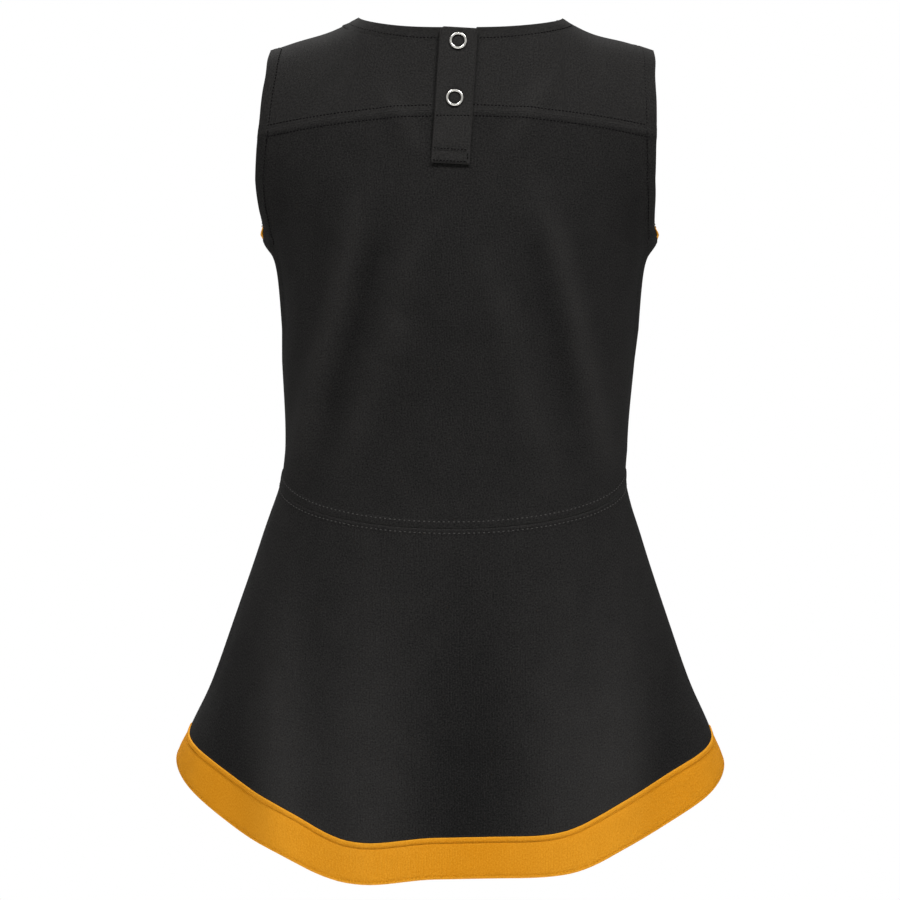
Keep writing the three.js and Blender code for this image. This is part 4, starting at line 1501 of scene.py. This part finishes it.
def node(
    tree: bpy.types.NodeTree, kind: str, settings: dict | None = None, inputs: dict | None = None
) -> bpy.types.Node:
    """Adds a node with its settings; an input is a constant, or the output socket that is linked to it."""
    made = tree.nodes.new(kind)
    for key, value in (settings or {}).items():
        setattr(made, key, value)
    for key, value in (inputs or {}).items():
        if isinstance(value, bpy.types.NodeSocket):
            tree.links.new(value, made.inputs[key])
        else:
            made.inputs[key].default_value = value
    return made


def new_material(name: str) -> tuple[bpy.types.Material, bpy.types.NodeTree]:
    """A material with an empty node tree."""
    material = bpy.data.materials.new(name)
    material.use_nodes = True
    material.node_tree.nodes.clear()
    return material, material.node_tree


def maths(tree: bpy.types.NodeTree, operation: str, a: Value, b: Value = 0.0, c: Value = 0.0) -> bpy.types.NodeSocket:
    """Output of a maths node."""
    return node(tree, "ShaderNodeMath", {"operation": operation}, {0: a, 1: b, 2: c}).outputs[0]


def blended(tree: bpy.types.NodeTree, factor: Value, a: Value, b: Value) -> bpy.types.NodeSocket:
    """Output of a colour mix from a to b."""
    return node(tree, "ShaderNodeMix", {"data_type": "RGBA"}, {"Factor": factor, "A": a, "B": b}).outputs["Result"]


def surface(tree: bpy.types.NodeTree, inputs: dict) -> None:
    """Ends a node tree in a physical surface."""
    shader = node(tree, "ShaderNodeBsdfPrincipled", {}, inputs)
    node(tree, "ShaderNodeOutputMaterial", {}, {"Surface": shader.outputs[0]})


@dataclass(frozen=True)
class DoubleKnit:
    """Fine weft-knitted cloth; its fibres scatter light softly at grazing angles.

    The wales and courses are 0.9 by 0.75 mm. Each loop is a small raised V, so the cloth reads as a
    fine grain rather than a flat tone.
    """

    name: str
    colour: str
    light: str
    faded: str
    sheen: float
    roughness: float
    wale: float = 0.9
    course: float = 0.75
    # strength of the painted fold light and shade in the colour
    painted_fold_light_strength: float = 0.055

    def build(self) -> bpy.types.Material:
        """Makes the material."""
        material, tree = new_material(self.name)
        flat = node(tree, "ShaderNodeUVMap", {"uv_map": "cut"}).outputs[0]
        place = node(tree, "ShaderNodeSeparateXYZ", {}, {0: flat})
        column = maths(tree, "FRACT", maths(tree, "DIVIDE", place.outputs[0], self.wale))
        aside = maths(tree, "ABSOLUTE", maths(tree, "SUBTRACT", column, 0.5))
        slant = maths(tree, "MULTIPLY_ADD", place.outputs[1], 1 / self.course, maths(tree, "MULTIPLY", aside, 1.4))
        loop = maths(tree, "SINE", maths(tree, "MULTIPLY", slant, 2 * math.pi))
        ridge = maths(tree, "SUBTRACT", 1.0, maths(tree, "POWER", maths(tree, "MULTIPLY", aside, 2.0), 2.0))
        height = maths(tree, "MULTIPLY", ridge, maths(tree, "MULTIPLY_ADD", loop, 0.3, 0.7))
        grain = node(tree, "ShaderNodeTexNoise", {}, {"Vector": flat, "Scale": 1.1, "Detail": 3.0, "Roughness": 0.65})
        patches = node(tree, "ShaderNodeTexNoise", {}, {"Vector": flat, "Scale": 0.06, "Detail": 4.0, "Roughness": 0.6})
        streaks = node(
            tree,
            "ShaderNodeTexNoise",
            {},
            {
                "Vector": node(tree, "ShaderNodeMapping", {}, {"Vector": flat, "Scale": (1.0, 0.12, 1.0)}).outputs[0],
                "Scale": 0.5,
                "Detail": 2.0,
            },
        )
        # painted light and shade: the fold attribute brightens the colour on fold ridges and darkens it in hollows, on
        # top of the random grain
        fold = node(tree, "ShaderNodeAttribute", {"attribute_name": "fold"}).outputs["Fac"]
        grain_and_painted_fold_light = maths(tree, "MULTIPLY_ADD", fold, self.painted_fold_light_strength, 0.3)
        for noise, weight in ((grain, 1.7), (patches, 0.2), (streaks, 0.08)):
            uneven = maths(tree, "SUBTRACT", noise.outputs["Fac"], 0.5)
            grain_and_painted_fold_light = maths(tree, "MULTIPLY_ADD", uneven, weight, grain_and_painted_fold_light)
        grain_and_painted_fold_light = node(tree, "ShaderNodeClamp", {}, {"Value": grain_and_painted_fold_light}).outputs[0]
        tone = blended(tree, grain_and_painted_fold_light, linear(self.colour), linear(self.light))
        edge = node(tree, "ShaderNodeAttribute", {"attribute_name": "edge"}).outputs["Fac"]
        worn = {"Value": edge, "From Min": 0.2, "From Max": 1.4, "To Min": 0.5, "To Max": 0.0}
        rubbed = node(tree, "ShaderNodeMapRange", {}, worn).outputs[0]
        rubbed = maths(tree, "MULTIPLY", rubbed, maths(tree, "MULTIPLY_ADD", grain.outputs["Fac"], 0.9, 0.1))
        colour = blended(tree, rubbed, tone, linear(self.faded))
        relief = maths(tree, "MULTIPLY_ADD", grain.outputs["Fac"], 0.9, height)
        bump = node(tree, "ShaderNodeBump", {}, {"Height": relief, "Strength": 0.6, "Distance": 0.00018})
        surface(
            tree,
            {
                "Base Color": colour,
                "Roughness": self.roughness,
                "IOR": 1.45,
                "Specular IOR Level": 0.03,
                "Sheen Weight": self.sheen,
                "Sheen Roughness": 0.45,
                "Sheen Tint": linear(self.light),
                "Normal": bump.outputs[0],
            },
        )
        return material


@dataclass(frozen=True)
class SpunThread:
    """Twisted sewing thread; its ply shows as fine slanted ridges, and the ply crests are painted slightly brighter,
    unevenly, as a highlight.
    """

    name: str
    colour: str
    light: str

    def build(self) -> bpy.types.Material:
        """Makes the material."""
        material, tree = new_material(self.name)
        place = node(tree, "ShaderNodeTexCoord").outputs["Object"]
        ply = node(tree, "ShaderNodeTexWave", {"bands_direction": "DIAGONAL"}, {"Vector": place, "Scale": 1800.0})
        uneven = node(tree, "ShaderNodeTexNoise", {}, {"Vector": place, "Scale": 600.0, "Detail": 2.0})
        # painted highlight: the ply crests are coloured brighter, broken up by noise
        painted_ply_highlight = maths(tree, "MULTIPLY", ply.outputs["Fac"], uneven.outputs["Fac"])
        bump = node(tree, "ShaderNodeBump", {}, {"Height": ply.outputs["Fac"], "Strength": 0.4, "Distance": 0.00005})
        surface(
            tree,
            {
                "Base Color": blended(tree, painted_ply_highlight, linear(self.colour), linear(self.light)),
                "Roughness": 0.9,
                "IOR": 1.5,
                "Specular IOR Level": 0.0,
                "Normal": bump.outputs[0],
            },
        )
        return material


@dataclass(frozen=True)
class NonWoven:
    """Bonded fibre stiffener; short fibres lie every way, so it looks like matt paper."""

    name: str
    colour: str
    light: str

    def build(self) -> bpy.types.Material:
        """Makes the material."""
        material, tree = new_material(self.name)
        flat = node(tree, "ShaderNodeUVMap", {"uv_map": "cut"}).outputs[0]
        fibres = node(tree, "ShaderNodeTexNoise", {}, {"Vector": flat, "Scale": 2.2, "Detail": 6.0, "Distortion": 1.5})
        bump = node(tree, "ShaderNodeBump", {}, {"Height": fibres.outputs["Fac"], "Strength": 0.5, "Distance": 0.0001})
        surface(
            tree,
            {
                "Base Color": blended(tree, fibres.outputs["Fac"], linear(self.colour), linear(self.light)),
                "Roughness": 0.9,
                "IOR": 1.5,
                "Normal": bump.outputs[0],
            },
        )
        return material


@dataclass(frozen=True)
class PlatedBrass:
    """Nickel-plated pressed brass; the plate is bright with hairline scuffs that break up reflections."""

    name: str
    colour: str
    dull: str

    def build(self) -> bpy.types.Material:
        """Makes the material."""
        material, tree = new_material(self.name)
        place = node(tree, "ShaderNodeTexCoord").outputs["Object"]
        haze = node(tree, "ShaderNodeTexNoise", {}, {"Vector": place, "Scale": 500.0, "Detail": 3.0})
        fine = {"Vector": place, "Scale": 2600.0, "Detail": 4.0, "Roughness": 0.7}
        scuffs = node(tree, "ShaderNodeTexNoise", {}, fine)
        rough = node(tree, "ShaderNodeMapRange", {}, {"Value": haze.outputs["Fac"], "To Min": 0.14, "To Max": 0.34})
        raised = {"Height": scuffs.outputs["Fac"], "Strength": 0.15, "Distance": 0.00004}
        bump = node(tree, "ShaderNodeBump", {}, raised)
        surface(
            tree,
            {
                "Base Color": blended(tree, haze.outputs["Fac"], linear(self.dull), linear(self.colour)),
                "Metallic": 1.0,
                "Roughness": rough.outputs[0],
                "Normal": bump.outputs[0],
            },
        )
        return material


@dataclass(frozen=True)
class PaleCard:
    """Matt pale studio floor."""

    name: str
    colour: str
    glow: float

    def build(self) -> bpy.types.Material:
        """Makes the material."""
        material, tree = new_material(self.name)
        colour = linear(self.colour)
        surface(
            tree,
            {"Base Color": colour, "Roughness": 0.8, "Emission Color": colour, "Emission Strength": self.glow},
        )
        return material


def wardrobe() -> Wardrobe:
    """The finishes of the dress."""
    return Wardrobe(
        black=DoubleKnit("black polyester double knit", "#111111", "#343332", "#343332", 0.03, 0.85).build(),
        gold=DoubleKnit(
            "golden yellow polyester double knit", "#bb760c", "#d4962e", "#e6a83c", 0.08, 0.8, painted_fold_light_strength=0.05
        ).build(),
        black_thread=SpunThread("black spun polyester thread", "#080708", "#121112").build(),
        # painted highlight: the waist thread is painted grey to look lit
        highlight_painted_thread=SpunThread("waist thread painted grey as a highlight", "#424140", "#62605e").build(),
        gold_thread=SpunThread("golden spun polyester thread", "#b87a12", "#dc9a26").build(),
        interlining=NonWoven("white bonded interlining", "#cfcdc4", "#ebe9e1").build(),
        nickel=PlatedBrass("nickel-plated pressed brass", "#dedcd6", "#c2c0ba").build(),
    )


# ------------------------------------------------------------------ studio


@dataclass
class Studio:
    """Camera, lights and floor."""

    aim: tuple[float, float, float] = (0.0039, 0.0, -0.2411)
    distance: float = 20.0
    frame_width: float = 0.5

    def build(self) -> None:
        """Sets up the studio."""
        self._camera()
        self._world()
        self._light("left softbox", (0.9, 1.3, 2.4), (0.7, 0.7), 50.0)
        self._light("right softbox", (-1.2, 1.3, 2.3), (0.7, 0.7), 76.0)
        self._light("low fill", (0.0, 3.0, -0.1), (1.4, 0.8), 5.0)
        self._light("front softbox", (0.5, -1.7, 1.6), (1.2, 1.2), 60.0)
        self._floor()

    def _floor(self) -> None:
        """A round pale floor below the hem."""
        turn = np.arange(96) * 2 * np.pi / 96
        rim = np.stack([1300 * np.cos(turn), 1300 * np.sin(turn), np.full(96, -620.0)], -1)
        material = PaleCard("pale studio card", "#f4f4f3", 0.3).build()
        mesh_object("studio_floor", rim, [range(96)], material)

    def _camera(self) -> None:
        """A long lens behind the dress, square on to its back."""
        data = bpy.data.cameras.new("camera")
        data.sensor_width = 36
        data.lens = 36 * self.distance / self.frame_width
        data.clip_end = 100
        camera = bpy.data.objects.new("camera", data)
        camera.location = (self.aim[0], self.distance, self.aim[2])
        camera.rotation_euler = (math.radians(90), 0, math.radians(180))
        bpy.context.scene.collection.objects.link(camera)
        bpy.context.scene.camera = camera

    def _world(self) -> None:
        """White all round, dimmer for the light it gives than for the eye."""
        world = bpy.data.worlds.new("studio")
        world.use_nodes = True
        tree = world.node_tree
        tree.nodes.clear()
        path = node(tree, "ShaderNodeLightPath")
        strength = maths(tree, "MULTIPLY_ADD", path.outputs["Is Camera Ray"], 0.85, 0.15)
        strength = maths(tree, "MULTIPLY_ADD", path.outputs["Is Glossy Ray"], 0.4, strength)
        white = node(tree, "ShaderNodeBackground", {}, {"Color": (1, 1, 1, 1), "Strength": strength})
        node(tree, "ShaderNodeOutputWorld", {}, {"Surface": white.outputs[0]})
        bpy.context.scene.world = world
        bpy.context.scene.view_settings.view_transform = "Standard"

    def _light(self, name: str, place: Sequence[float], size: tuple[float, float], power: float) -> None:
        """An area light that faces the dress."""
        data = bpy.data.lights.new(name, "AREA")
        data.shape = "RECTANGLE"
        data.size, data.size_y = size
        data.energy = power
        light = bpy.data.objects.new(name, data)
        light.location = place
        light.visible_camera = False
        light.rotation_euler = (Vector(self.aim) - Vector(place)).to_track_quat("-Z", "Y").to_euler()
        bpy.context.scene.collection.objects.link(light)


# ------------------------------------------------------------------ the dress


BACK_FOLDS = [
    Fold((50, -80), (93, -275), 8, 4.2),
    Fold((-42, -80), (-88, -275), 8, 4.0),
    Fold((16, -95), (72, -285), 9, 2.2),
    Fold((-8, -110), (-60, -285), 9, 2.2),
    Fold((44, -105), (80, -250), 7, -2.4),
    Fold((-36, -105), (-74, -250), 7, -2.2),
    Fold((100, -80), (104, -210), 9, -2.0),
    Fold((-98, -80), (-102, -210), 9, -2.0),
    Fold((44, -36), (16, -84), 6, 1.6),
    Fold((-54, -26), (-20, -84), 6, 1.6),
    Fold((30, -165), (36, -195), 7, 1.6),
]
FRONT_FOLDS = [
    Fold((60, -90), (86, -275), 9, 3.4),
    Fold((-54, -90), (-82, -275), 9, 3.4),
    Fold((24, -140), (62, -280), 9, 1.8),
    Fold((-20, -140), (-54, -280), 9, 1.8),
]


class CheerDress:
    """The whole dress, built sub-assembly by sub-assembly."""

    def __init__(self) -> None:
        """Sets up the worn shape, the drape and the placket."""
        self.shape = WornShape()
        self.drape = Drape(self.shape, {Side.BACK: BACK_FOLDS, Side.FRONT: FRONT_FOLDS})
        self.placket = Placket()
        self.placket.attach(self.shape)
        self.cutter = PanelCutter(self.drape)

    def build(self) -> None:
        """Builds and dresses every piece."""
        cloth = wardrobe()
        Yokes(self.cutter, self.placket).build(cloth)
        Bodice(self.cutter, self.placket).build(cloth)
        Skirt(self.cutter).build(cloth)
        NeckFacing(self.cutter).build(cloth)
        PlacketParts(self.placket).build(cloth)
        Stitching(Seamstress(self.cutter), self.placket).build(cloth)


def main() -> None:
    """Builds the dress and the studio."""
    logging.basicConfig(level=logging.INFO, format="%(message)s")
    LOG.info("building the dress")
    CheerDress().build()
    Studio().build()


if __name__ == "__main__":
    main()
